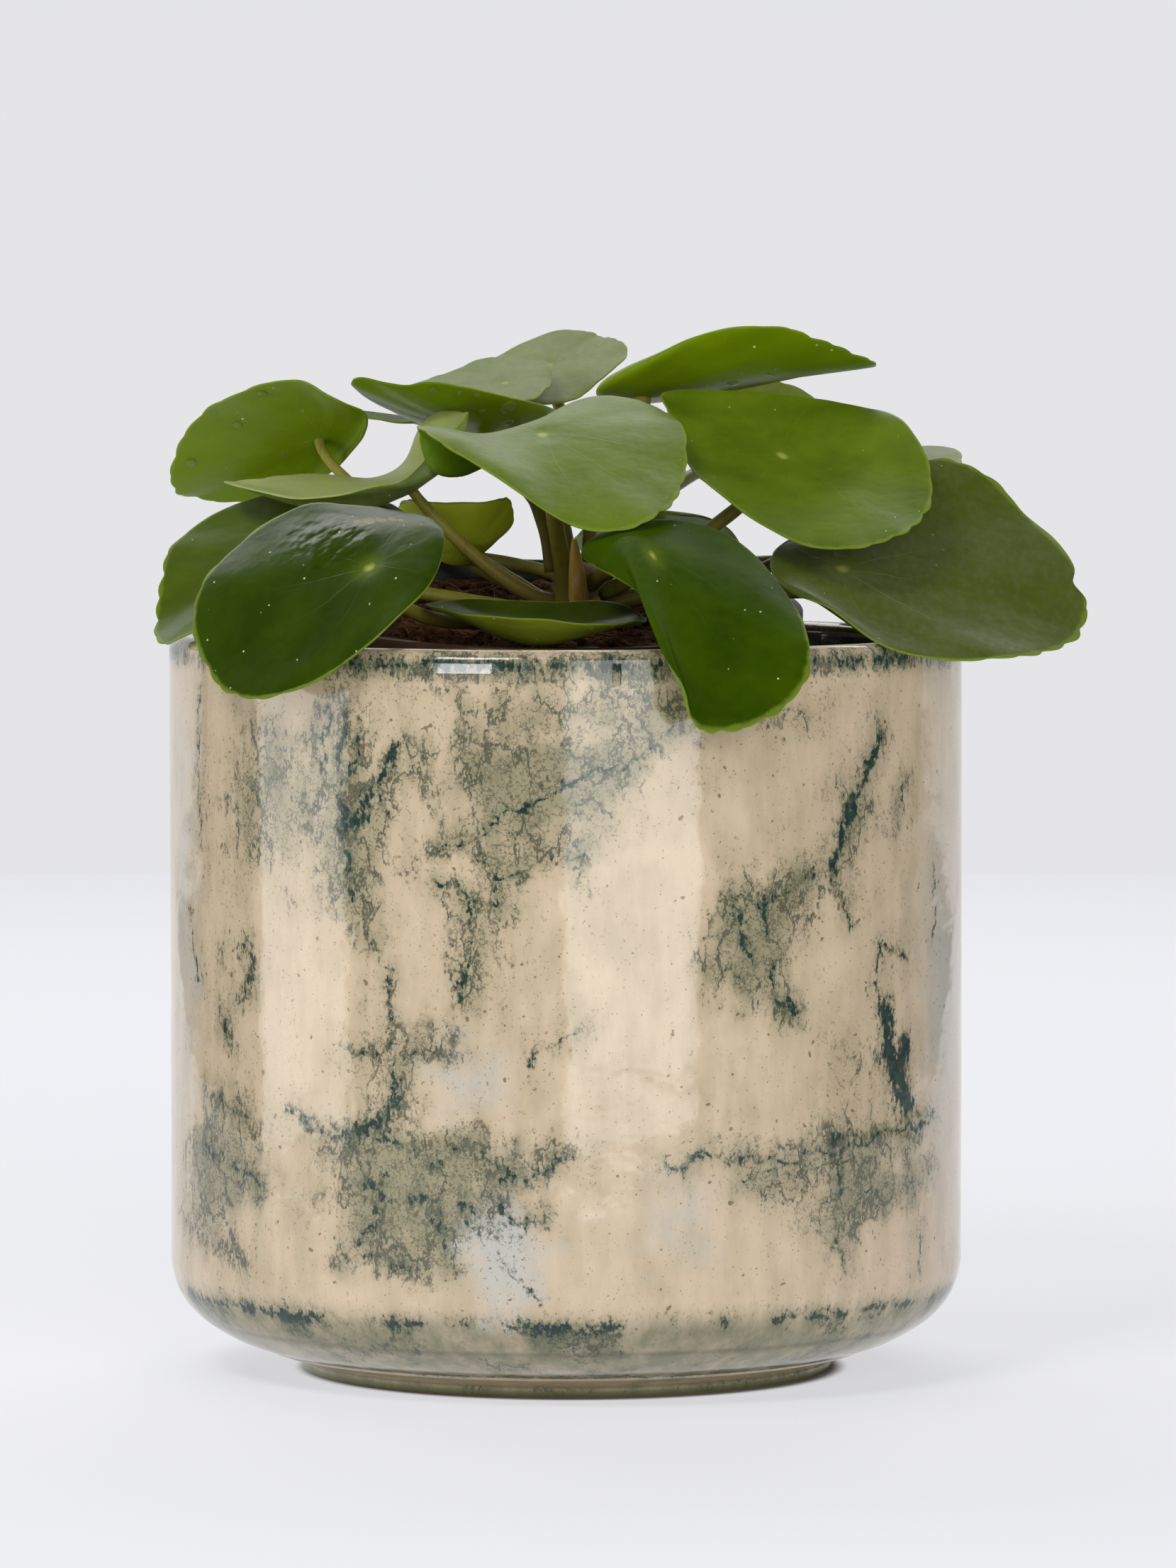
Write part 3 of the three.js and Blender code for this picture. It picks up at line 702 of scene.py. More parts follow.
        # painted shade: the glaze inside the pot's wall, from its floor up, is darkened
        from_axis = shader.length(shader.vector("MULTIPLY", place, (1.0, 1.0, 0.0)))
        painted_inner_shade = from_axis.step(self.inner_radius + 0.6, self.inner_radius - 0.6) * z.step(9.0, 12.0)
        band = z.step(self.groove_line + 0.1, self.groove_line - 0.4)
        bare = band * (z + (grit - 0.5) * 3 - self.bare_line).step(-0.6, 0.6) * patches.step(0.36, 0.52)
        underside = z.step(0.35, 0.15)
        height = shader.noise(place, 11.0, 1.0) * 0.26 + shader.noise(place, 2.4, 1.0) * 0.030
        for degrees, length in self.bulges:
            away = abs(side - math.radians(degrees) * self.radius) * (1 / length)
            slope = ((self.bulge_top - z) * (1 / 1.9)).larger(0.0).smaller(1.0) * z.step(132.8, 135.2)
            height = height + slope * (away + (grit - 0.5) * 0.5).step(1.0, 0.75) * self.bulge_slope
        colour = shader.coats(
            self.cream,
            (veil * 0.50, self.khaki),
            (thick * 0.85, self.khaki),
            ((thick - 0.40).larger(0.0) * 0.9, self.wash),
            (chamfer * (streaky * 1.5 - 0.05).smaller(0.85), self.sage),
            ((milk * (streaky + 0.3)).smaller(0.75), self.milk),
            (threads * 0.75, self.hair),
            (hairs * 0.60, self.hair),
            (edge.step(0.03, 0.0) * (1 - thick) * 0.16, self.khaki),
            (smoke * 0.36, self.moss),
            (dots * 0.60, self.speckle),
            ((flecks + thick * 0.05 - 0.745).step(0.0, 0.03) * 0.75, self.speckle),
            (halo * 0.55, self.moss),
            (cover * 0.95, deep),
            (painted_inner_shade * 0.9, self.inside),
            (bare * 0.8, self.foot),
            # painted shade along the foot's lowest edge
            (z.step(1.7, 0.9) * 0.8, self.painted_foot_shade),
            (underside, self.clay),
        )
        return shader.finish(
            Base_Color=colour, Roughness=underside * 0.6 + cover * 0.05 + self.roughness, IOR=1.52,
            Specular_IOR_Level=0.5, Normal=shader.bump(height, 1.0, 1.0),
        )


@dataclass(frozen=True)
class PlasticFinish:
    """Dark grey moulded plastic with splashes of soil."""

    colour: Colour = (0.035, 0.042, 0.052)
    dust: Colour = (0.085, 0.065, 0.045)
    earth: Colour = (0.090, 0.042, 0.020)
    soiled_height: Pair = (142.6, 140.8)
    soiled_depth: Pair = (-22.0, -32.0)

    def material(self) -> bpy.types.Material:
        """Build the finish.

        Returns:
            The material.
        """
        shader = Shader("nursery_plastic")
        place = shader.millimetres()
        stains = shader.noise(place, 6.0, 4.0, 0.65).step(0.50, 0.72)
        grain = shader.noise(place, 0.5, 2.0)
        y, z = shader.split(place)[1:]
        soiled = (z + (stains - 0.5) * 1.5).step(*self.soiled_height) * y.step(*self.soiled_depth)
        return shader.finish(
            Base_Color=shader.coats(self.colour, (stains * 0.6, self.dust), (soiled * 0.9, self.earth)),
            Roughness=stains * 0.3 + 0.42, Normal=shader.bump(grain, 0.08, 0.5),
        )


@dataclass(frozen=True)
class SoilFinish:
    """Moist potting compost, dark brown with paler bits."""

    dark: Colour = (0.040, 0.0160, 0.0070)
    pale: Colour = (0.215, 0.084, 0.031)
    bit: Colour = (0.16, 0.10, 0.055)

    def material(self) -> bpy.types.Material:
        """Build the finish.

        Returns:
            The material.
        """
        shader = Shader("compost")
        place = shader.millimetres()
        lumps = shader.noise(place, 1.6, 5.0, 0.7)
        bits = shader.cells(place, 1.1, "F1", "Color")
        tint = shader.value("ShaderNodeSeparateColor", None, {0: bits.socket})
        few = (tint - 0.93).step(0.0, 0.04)
        colour = shader.coats(self.dark, (lumps.step(0.38, 0.70), self.pale), (few * 0.5, self.bit))
        return shader.finish(
            Base_Color=colour, Roughness=0.92, Specular_IOR_Level=0.2, Normal=shader.bump(lumps, 0.8, 0.9),
        )


@dataclass(frozen=True)
class FibreFinish:
    """Coconut fibre and bark bits in the compost."""

    name: str
    colour: Colour

    def material(self) -> bpy.types.Material:
        """Build the finish.

        Returns:
            The material.
        """
        shader = Shader(self.name)
        place = shader.millimetres()
        tone = shader.noise(place, 2.5, 3.0, 0.6)
        darker = tuple(part * 0.35 for part in self.colour)
        return shader.finish(
            Base_Color=shader.mix(tone.step(0.35, 0.65), darker, self.colour), Roughness=0.85,
            Normal=shader.bump(tone, 0.25, 0.6),
        )


@dataclass(frozen=True)
class StemFinish:
    """The woody main stem: brown, ringed with scars."""

    bark: Colour = (0.27, 0.160, 0.095)
    green: Colour = (0.21, 0.19, 0.075)
    scar: Colour = (0.10, 0.055, 0.030)

    def material(self) -> bpy.types.Material:
        """Build the finish.

        Returns:
            The material.
        """
        shader = Shader("stem_bark")
        place = shader.millimetres()
        patches = shader.noise(place, 3.5, 4.0, 0.65)
        rings = shader.noise(place, 1.2, 3.0, 0.6, (3.0, 3.0, 0.6))
        scars = rings.step(0.62, 0.75)
        colour = shader.coats(self.bark, (patches.step(0.4, 0.62), self.green), (scars * 0.6, self.scar))
        return shader.finish(Base_Color=colour, Roughness=0.7, Normal=shader.bump(rings, 0.35, 0.8))


@dataclass(frozen=True)
class StipuleFinish:
    """Papery amber stipules."""

    amber: Colour = (0.56, 0.32, 0.035)
    pale: Colour = (0.66, 0.46, 0.19)

    def material(self) -> bpy.types.Material:
        """Build the finish.

        Returns:
            The material.
        """
        shader = Shader("stipule_paper")
        place = shader.millimetres()
        lines = shader.noise(place, 1.0, 3.0, 0.6, (1.0, 1.0, 7.0))
        return shader.finish(
            Base_Color=shader.mix(lines.step(0.4, 0.68), self.amber, self.pale), Roughness=0.5,
            Subsurface_Weight=0.3, Subsurface_Radius=(1.0, 0.5, 0.2), Subsurface_Scale=1.0 * MM,
            Normal=shader.bump(lines, 0.12, 0.6),
        )


@dataclass(frozen=True)
class PetioleFinish:
    """A leaf stalk: smooth, green to pinkish brown along its length."""

    name: str
    base: Colour
    top: Colour
    root_height: float
    top_height: float

    def material(self) -> bpy.types.Material:
        """Build the finish.

        Returns:
            The material.
        """
        shader = Shader(self.name)
        place = shader.millimetres()
        z = shader.split(place)[2]
        streaks = shader.noise(place, 1.3, 3.0, 0.6, (1.0, 1.0, 3.0))
        blush = shader.noise(place, 6.0, 3.0, 0.6)
        along = (z + (blush - 0.5) * 14.0).step(self.root_height, self.top_height)
        darker = tuple(part * 0.5 for part in self.base)
        colour = shader.coats(self.base, (along, self.top), (streaks.step(0.52, 0.8) * 0.55, darker))
        return shader.finish(
            Base_Color=colour, Roughness=0.42, Specular_IOR_Level=0.16, Subsurface_Weight=0.2,
            Subsurface_Radius=(1.0, 0.8, 0.2), Subsurface_Scale=0.8 * MM,
            Normal=shader.bump(streaks, 0.1, 0.5),
        )


@dataclass(frozen=True)
class DropFinish:
    """Clear water."""

    colour: Colour = (0.24, 0.34, 0.06)

    def material(self) -> bpy.types.Material:
        """Build the finish.

        Returns:
            The material.
        """
        shader = Shader("water_drop")
        ripple = shader.noise(shader.millimetres(), 1.5, 1.0)
        return shader.finish(
            Base_Color=self.colour, Roughness=0.10, IOR=1.33, Alpha=0.45,
            Normal=shader.bump(ripple, 0.02, 0.3),
        )


class LeafSide(Enum):
    """The two faces of a blade."""

    UPPER = 0
    UNDER = 1


@dataclass(frozen=True)
class LeafTone:
    """How one leaf differs from the next: its greens, its gloss and its blemishes."""

    upper: Colour = (0.080, 0.140, 0.004)
    deep: Colour = (0.044, 0.090, 0.002)
    under: Colour = (0.125, 0.200, 0.004)
    gloss: float = 0.36
    sheen: float = 0.22
    specks: float = 1.0
    # share of painted sheen: pale grey streaks laid in the colour for the leaf's satiny reflection
    painted_silk_sheen: float = 0.0
    scars: tuple[tuple[float, float, float], ...] = ()
    crinkle: tuple[float, float, float] | None = None

    def greens(self, side: LeafSide) -> tuple[Colour, Colour]:
        """Find the two greens that one face varies between.

        Args:
            side: Which face it is.

        Returns:
            The darker and the paler green.
        """
        if side is LeafSide.UPPER:
            return self.deep, self.upper
        return self.under, tuple(part * 1.25 for part in self.under)


@dataclass(frozen=True)
class LeafFinish:
    """One face of one leaf."""

    name: str
    side: LeafSide
    tone: LeafTone
    edge_colour: Colour = (0.20, 0.27, 0.03)
    navel: Colour = (0.42, 0.46, 0.09)
    glow: Colour = (0.150, 0.215, 0.012)
    # painted sheen: the grey that stands in for the leaves' satiny and glossy reflection
    painted_sheen_grey: Colour = (0.30, 0.34, 0.24)
    scar: Colour = (0.17, 0.14, 0.03)
    dots: tuple[Colour, Colour] = ((0.66, 0.71, 0.44), (0.93, 0.95, 0.82))
    dot_size: Pair = (0.050, 0.085)
    translucence: float = 0.5

    def away(self, shader: Shader, flat: Value, s: float, t: float) -> Value:
        """Measure how far each point lies from a place on the blade, 1 being half its length."""
        return shader.vector("DISTANCE", flat, (s / 2, t / 2, 0.0), output=1) * 2

    def material(self) -> bpy.types.Material:
        """Build the finish.

        Returns:
            The material.
        """
        shader = Shader(self.name)
        place = shader.millimetres()
        uv = shader.node("ShaderNodeUVMap", {"uv_map": "leaf"}).outputs[0]
        flat = shader.vector("SUBTRACT", Value(shader, uv), (0.5, 0.5, 0.0))
        across, along = shader.split(flat)[1::-1]
        radius = shader.length(flat) * 2
        angle = shader.math("ARCTAN2", across, along)
        blotch = shader.noise(place, 12.0, 3.0, 0.55)
        small = shader.noise(place, 2.2, 3.0, 0.6)
        first, second = self.tone.greens(self.side)
        vein_colour = tuple(part * 1.5 + 0.01 for part in second)
        fan = abs((angle * 4.5 + (blotch - 0.5) * 1.3 + radius * 0.6).sine())
        veins = (fan.step(0.09, 0.0) * radius.step(0.95, 0.2)).larger(0.0)
        coats = [((blotch + small * 0.25).step(0.25, 1.0), second), (veins * 0.18, vein_colour)]
        # painted sheen: grey streaks laid on the leaf as its satiny reflection
        if self.tone.painted_silk_sheen:
            painted_silk_sheen = shader.noise(place, 1.6, 3.0, 0.6, (1.0, 5.0, 1.0)).step(0.36, 0.75)
            coats.append((painted_silk_sheen * self.tone.painted_silk_sheen, self.painted_sheen_grey))
        many = self.tone.specks
        grains = shader.cells(shader.vector("MULTIPLY", place, (1.0, 0.7, 0.8)), 3.4 - many * 0.5)
        size = many * 0.022 + self.dot_size[self.side.value]
        thin = 0.58 - many * 0.06
        specks = grains.step(size, size * 0.55) * small.step(thin, thin + 0.07) * many
        rim = (radius + (small - 0.5) * 0.025).step(0.976, 0.994)
        halo = (radius + (small - 0.5) * 0.12).step(0.20, 0.02)
        spot = (radius + (small - 0.5) * 0.06).step(0.060, 0.010)
        coats += [
            ((specks * 0.60).smaller(0.95), self.dots[self.side.value]),
            (rim * 0.62, self.edge_colour),
            (halo * 0.42, self.glow),
            (spot * 0.75, self.navel),
        ]
        for scar_s, scar_t, size in self.tone.scars:
            mark = self.away(shader, flat, scar_s, scar_t) + (small - 0.5) * size * 1.2
            coats.append((mark.step(size, size * 0.6) * 0.85, self.scar))
        height = blotch + small * 0.10 + veins * 0.06
        rough = small * 0.14 + (self.tone.gloss - 0.07)
        if self.tone.crinkle:
            *middle, reach = self.tone.crinkle
            near = self.away(shader, flat, *middle).step(reach, reach * 0.3)
            folds = shader.noise(place, 5.0, 2.0, 0.5, (1.0, 1.0, 2.0))
            height = height + near * folds * 3.0
            rough = rough - near * 0.10
            # painted highlight: grey glints laid on the crinkled folds, in the painted sheen's grey
            coats.append((near * folds.step(0.5, 0.75) * 0.18, self.painted_sheen_grey))
        return shader.finish(
            Base_Color=shader.coats(first, *coats), Roughness=rough, IOR=1.42,
            Specular_IOR_Level=self.tone.sheen, Subsurface_Weight=self.translucence,
            Subsurface_Radius=(0.9, 1.0, 0.2), Subsurface_Scale=0.9 * MM,
            Normal=shader.bump(height, 0.55, 0.8),
        )


@dataclass(frozen=True)
class Petiole:
    """A leaf stalk's course: where it leaves the main stem and how it bends."""

    angle: float
    height: float
    rise: float
    leave: float
    arrive: float
    root: float
    top: float
    brown: float = 0.5


@dataclass(frozen=True)
class Leaf:
    """One leaf: the five points that its blade lies through, its pulls, its edge and its stalk."""

    name: str
    attach: Point
    tip: Point
    heel: Point
    left: Point
    right: Point
    petiole: Petiole
    pulls: tuple[tuple[float, ...], ...] = ()
    edge_wave: float = 0.5
    scallops: tuple[int, int] = (24, 30)
    scallop_depth: float = 0.028
    taper: float = 0.0
    notch: tuple[float, float, float] | None = None
    tone: LeafTone = LeafTone()
    drops: tuple[tuple[float, float, float], ...] = ()
    stalk_gap: float = 0.75
    stalk_bite: float = 0.45

    def surface(self, s: Places, t: Places) -> np.ndarray:
        """Find points of the blade's middle surface.

        Args:
            s: How far along it, from -1 at the heel to 1 at the tip.
            t: How far across it, from -1 at the right to 1 at the left.

        Returns:
            The points, in millimetres.
        """
        attach, tip, heel, left, right = (
            np.array(point, float) for point in (self.attach, self.tip, self.heel, self.left, self.right)
        )
        s, t = np.asarray(s, float)[..., None], np.asarray(t, float)[..., None]
        point = attach + (tip - heel) / 2 * s + ((tip + heel) / 2 - attach) * s * s
        point = point + (left - right) / 2 * t + ((left + right) / 2 - attach) * t * t
        for pull_s, pull_t, reach, *move in self.pulls:
            near = np.exp(-((s - pull_s) ** 2 + (t - pull_t) ** 2) / reach ** 2)
            point = point + near * np.array(move)
        return point

    def normal(self, s: Places, t: Places) -> np.ndarray:
        """Find the way that the upper face looks.

        Args:
            s: How far along the blade.
            t: How far across it.

        Returns:
            Unit vectors.
        """
        step = 1e-3
        along = self.surface(s + step, t) - self.surface(s - step, t)
        across = self.surface(s, t + step) - self.surface(s, t - step)
        out = np.cross(along, across)
        return out / np.linalg.norm(out, axis=-1, keepdims=True)

    def edge_reach(self, angle: np.ndarray, chance: random.Random) -> np.ndarray:
        """Find how far the edge lies out, with its scallops.

        Args:
            angle: Angles from the tip, in radians.
            chance: Where the scallops' sizes are drawn from.

        Returns:
            The reach, 1 being an even oval.
        """
        off = np.minimum(np.minimum(angle, 2 * math.pi - angle), math.pi / 2)
        reach = 1 - self.taper * np.sin(2 * off) ** 2
        if self.notch:
            middle, width, depth = self.notch
            reach = reach - depth * np.exp(-(((angle - middle) / width) ** 2))
        scallops = chance.randint(*self.scallops)
        phase = chance.uniform(0, math.pi)
        swell = 0.6 + 0.4 * np.sin(angle * 2 + phase) + 0.35 * np.sin(angle * 3 - phase)
        uneven = 0.25 * np.sin(angle * 3 + phase)
        depth = self.scallop_depth * self.edge_wave
        reach = reach + depth * swell * (np.abs(np.sin(angle * scallops / 2 + phase + uneven)) - 0.6)
        return reach + depth * 0.3 * np.sin(angle * 13 + 2 * phase)

    def curve(self, stem: "MainStem", steps: int) -> np.ndarray:
        """Lay out the stalk's middle line.

        Args:
            stem: The main stem that it leaves.
            steps: How many steps it has.

        Returns:
            The points, in millimetres, from the root to the blade.
        """
        stalk = self.petiole
        turn, slope = math.radians(stalk.angle), math.radians(stalk.rise)
        outward = np.array([math.cos(turn), math.sin(turn), 0.0])
        root = np.array([stem.x, stem.y, stalk.height]) + outward * (stem.radius - 0.5)
        start = outward * math.cos(slope) + np.array([0, 0, math.sin(slope)])
        normal = self.normal(0.0, 0.0)
        end = self.surface(0.0, 0.0) - normal * self.stalk_gap
        length = float(np.linalg.norm(end - root))
        first, last = root + start * length * stalk.leave, end - normal * length * stalk.arrive
        u = np.linspace(0, 1, steps + 1)[:, None]
        v, end = 1 - u, end + normal * self.stalk_bite
        return v ** 3 * root + 3 * v * v * u * first + 3 * v * u * u * last + u ** 3 * end


LUSH = LeafTone((0.140, 0.205, 0.009), (0.074, 0.122, 0.003), gloss=0.40, sheen=0.11)
LOW = LeafTone((0.092, 0.135, 0.006), (0.058, 0.094, 0.003), gloss=0.40, sheen=0.14)
DEEP = LeafTone((0.046, 0.090, 0.0008), (0.022, 0.050, 0.0004), gloss=0.40, sheen=0.03, specks=1.7)
SILKY = LeafTone((0.125, 0.180, 0.016), (0.080, 0.125, 0.006), (0.12, 0.17, 0.02), gloss=0.44, sheen=0.2,
                 painted_silk_sheen=0.12)
SILVERY = LeafTone((0.34, 0.385, 0.115), (0.25, 0.295, 0.070), (0.16, 0.21, 0.04), gloss=0.46, sheen=0.2,
                   painted_silk_sheen=0.32)
PALE = LeafTone((0.160, 0.200, 0.030), (0.115, 0.155, 0.014), (0.16, 0.23, 0.02), gloss=0.5, sheen=0.12,
                painted_silk_sheen=0.16)
GREYED = LeafTone((0.086, 0.112, 0.013), (0.062, 0.088, 0.006), gloss=0.42, sheen=0.10, painted_silk_sheen=0.07)
YOUNG = LeafTone((0.100, 0.170, 0.004), (0.064, 0.120, 0.002), (0.145, 0.220, 0.0015), gloss=0.38, sheen=0.15)
# painted light: the cup's underside is given a far paler green than its upper face, to stand in for light on
# it where it lies in shade
CUPPED = LeafTone((0.040, 0.062, 0.005), (0.024, 0.040, 0.002), (0.400, 0.480, 0.030), gloss=0.4, sheen=0.07,
                  specks=2.6)
FOLDED = LeafTone((0.140, 0.200, 0.010), (0.100, 0.152, 0.004), (0.110, 0.200, 0.002), gloss=0.42, sheen=0.13,
                  painted_silk_sheen=0.06)
# painted light: leaf_16 lies in shade under the others, so its greens, its underside most, are made far paler
# to stand in for light shining through it
PAINTED_LIGHT_TONE = LeafTone((0.220, 0.300, 0.016), (0.160, 0.235, 0.008), (0.480, 0.560, 0.030), gloss=0.42, sheen=0.2)

LEAVES: tuple[Leaf, ...] = (
    Leaf("leaf_01", (-47.7, 40, 175.5), (-77, 50, 169.5), (-38.5, 28, 177.5), (-54, 22, 186.5),
         (-61, 58, 163.5), Petiole(112, 144.6, 0, 0.42, 0.12, 1.5, 0.85, 0.2),
         ((0.7, 0.7, 0.5, 0, 0, 2.5), (-0.7, 0.7, 0.5, -1.5, 0, -2)), tone=YOUNG,
         drops=((0.3, 0.85, 1.1), (0.62, 0.4, 0.9), (0.9, 0.02, 1.0), (0.71, 0.61, 0.7), (0.3, -0.12, 0.7))),
    Leaf("leaf_02", (-29, -3, 168.2), (-65.2, 4, 168.7), (-17.8, 11, 180.8), (-36, -17, 167.3),
         (-35, 18, 168.5), Petiole(200, 145.2, 8, 0.3, 0.06, 1.55, 0.95, 0.7),
         ((-0.7, -0.7, 0.5, -5, -1, 3.5), (-0.7, 0.7, 0.5, -5, 2, -3), (0.45, 0.1, 0.45, 0, 0, -4),
          (0.7, -0.7, 0.5, 2, 0, 2)), taper=0.09, tone=SILVERY),
    Leaf("leaf_03", (-49, -8, 154.6), (-76, -22, 137.8), (-32, 8, 163), (-49.7, -32, 145),
         (-70.5, 6, 160.3), Petiole(182, 142.4, 14, 0.35, 0.12, 1.5, 1.2, 0.3),
         ((0.7, -0.7, 0.5, 3.5, 0, 0), (0.7, 0.7, 0.5, 0, 0, 6)), tone=LOW),
    Leaf("leaf_04", (-35.6, -56, 153.8), (-61.5, -58, 131), (-25.5, -45, 163), (-29.5, -70, 145.5),
         (-56.5, -30, 161), Petiole(228, 143, -2, 0.5, 0.25, 1.5, 1.3, 0.5),
         ((0.7, -0.7, 0.5, -3, 0, 1), (-0.7, -0.7, 0.5, 0, 0, -2.5), (-0.7, 0.7, 0.5, -1.5, 0, 0)),
         tone=LeafTone((0.034, 0.066, 0.0010), (0.017, 0.038, 0.0004), gloss=0.32, sheen=0.08, specks=1.8,
                       scars=((-0.40, -0.50, 0.05), (-0.47, -0.44, 0.07), (-0.55, -0.36, 0.06),
                              (-0.63, -0.28, 0.05), (-0.66, -0.20, 0.035)),
                       crinkle=(-0.08, -0.5, 0.42))),
    Leaf("leaf_05", (-16, 31, 177), (-41, 16, 187), (-1.2, 39, 179.6), (-21.3, 10, 186.2),
         (-24.5, 48, 178), Petiole(182, 151, 84, 0.55, 0.12, 1.4, 1.1, 0.5), edge_wave=0.2, taper=0.1,
         tone=YOUNG, drops=((0.27, 0.85, 0.9), (0.0, 0.92, 0.55), (-0.17, 0.92, 0.6), (-0.4, 0.73, 1.7),
                     (-0.09, 0.65, 0.6), (-0.29, 0.44, 1.1))),
    Leaf("leaf_06", (-12, 57, 186), (-11, 77, 190.6), (-12, 37, 182.8), (-30.8, 55, 184.4),
         (-2.9, 55, 186.4), Petiole(108, 151, 72, 0.4, 0.35, 1.4, 1.2, 0.4), tone=PALE),
    Leaf("leaf_07", (-3.4, 84, 189), (1.5, 104, 196), (-4, 62, 181.8), (-18.5, 84, 187), (12, 82, 192),
         Petiole(70, 151, 80, 0.35, 0.25, 1.4, 1.2, 0.4), ((0.7, -0.7, 0.5, -2, 0, -2),), tone=PALE),
    Leaf("leaf_08", (-4.2, -16, 177.3), (22.7, -22, 173.8), (-27.5, -13, 177.8), (6, 4, 184.5),
         (5, -47, 160.4), Petiole(240, 145.5, 86, 0.3, 0.22, 1.85, 1.2, 0.3),
         ((-0.7, 0.7, 0.45, -7, -8, -12), (-0.7, -0.7, 0.5, 0, 0, 4.5), (-0.95, -0.3, 0.35, 0, 0, 2.5),
          (-0.65, 0.25, 0.25, 0, 0, -2.2), (-0.42, 0.6, 0.3, 0, 0, -3.6)),
         notch=(2.36, 0.045, -0.16), tone=FOLDED, drops=((-0.72, 0.52, 0.8),)),
    Leaf("leaf_09", (14.5, 26, 184), (59.5, 16, 189.8), (8.2, 31, 186), (38.6, 44, 185.5),
         (33.8, 4, 197.8), Petiole(350, 151, 60, 0.5, 0.4, 1.6, 1.5, 0.4),
         ((0.7, 0.7, 0.5, -1, 0, 4), (0.7, -0.7, 0.5, -0.5, 0, -0.5), (-0.7, -0.7, 0.5, 1, 0, -1)),
         edge_wave=0.3, taper=0.03, tone=YOUNG, drops=((0.5, -0.1, 1.3), (0.64, -0.24, 0.8))),
    Leaf("leaf_10", (38, 60, 179), (40, 66, 186.5), (42, 54, 171), (30, 56, 178), (51, 62, 177.5),
         Petiole(40, 147.5, 60, 0.45, 0.3, 1.4, 1.1, 0.3), tone=PALE),
    Leaf("leaf_11", (40.9, -6, 173), (68.5, -18, 168.7), (20.9, 0, 177.8), (43.6, 12, 183.5),
         (46.5, -38, 157.3), Petiole(336, 147, 24, 0.35, 0.12, 1.5, 1.2, 0.3),
         ((-0.7, 0.7, 0.5, -7, 2, 1), (0.7, 0.7, 0.5, 1.2, 0, 3)), tone=LUSH),
    Leaf("leaf_12", (51.6, -26, 152.6), (98.4, -20, 145.0), (38.9, -22, 155.4), (72.0, 6, 172.6),
         (62.4, -47, 137.6), Petiole(322, 143.8, 18, 0.6, 0.2, 1.4, 1.3, 0.5),
         ((0.7, 0.7, 0.5, -3.5, 0, -0.5), (-0.6, -0.8, 0.45, 1, 0, 4), (-0.7, 0.7, 0.5, 0, 4, -8)),
         notch=(0.2, 0.12, 0.04), tone=GREYED),
    Leaf("leaf_13", (54, 32, 169), (76.3, 30, 171.7), (40, 30, 169), (58, 52, 174), (56, 14, 165),
         Petiole(4, 146.3, 0, 0.6, 0.12, 1.4, 1.1, 0.5), tone=SILKY),
    Leaf("leaf_14", (16, -54, 155.8), (27.4, -85, 125.2), (11, -31, 158.3), (44, -68, 140.2),
         (15.2, -71, 143.6), Petiole(297, 149, 25, 0.4, 0.25, 1.5, 1.3, 0.5),
         ((-0.7, 0.7, 0.5, 4, 8, 5), (-0.7, -0.7, 0.32, -5, 0, 0.5), (-0.3, -0.95, 0.35, 2.5, 0, 0),
          (0.7, -0.7, 0.5, 1.5, -2, 0), (0.7, 0.7, 0.5, -2, 0, 0)), tone=DEEP),
    Leaf("leaf_15", (-6, -38, 142), (-25.9, -42, 146.6), (15, -44, 143.6), (-6.1, -58, 145.2),
         (-5, -29, 146.5), Petiole(265, 143, 0, 0.45, 0.06, 1.3, 1.1, 0.3),
         ((0, 0.45, 0.5, 0, 0, -3), (-0.7, -0.7, 0.5, 0, 0, 1.5)), edge_wave=0.2, tone=CUPPED),
    Leaf("leaf_16", (-19.6, 14, 156), (-33, 22, 160), (-10.1, 4, 163.2), (-21.3, 6, 163.5),
         (-20.2, 25, 152), Petiole(150, 143.8, 36, 0.3, 0.05, 1.3, 1.1, 0.15),
         ((0.7, 0.7, 0.5, 0, 0, 2),), tone=PAINTED_LIGHT_TONE),
    Leaf("leaf_17", (-24, 66, 178), (-42, 64, 180), (-12, 64, 177), (-26, 52, 178), (-26, 88, 177),
         Petiole(146, 151, 84, 0.34, 0.08, 1.4, 1.2, 0.4), tone=DEEP),
    Leaf("leaf_18", (-42, 52, 156.5), (-62, 74, 149.5), (-32, 40, 159.5), (-56, 36, 158.5),
         (-28, 70, 153.5), Petiole(92, 147.6, 9, 0.45, 0.03, 1.4, 1.2, 0.5), tone=LUSH),
    Leaf("leaf_19", (18, 62, 158), (24, 94, 147), (15, 48, 161), (2, 76, 153), (34, 62, 155),
         Petiole(62, 144, 28, 0.45, 0.1, 1.4, 1.2, 0.4), tone=DEEP),
    Leaf("leaf_20", (61, 47, 153.5), (86, 63, 143.5), (50, 40, 156), (55, 68, 148.5), (75, 28, 152.5),
         Petiole(30, 144, 25, 0.5, 0.08, 1.4, 1.2, 0.4), tone=LUSH),
)


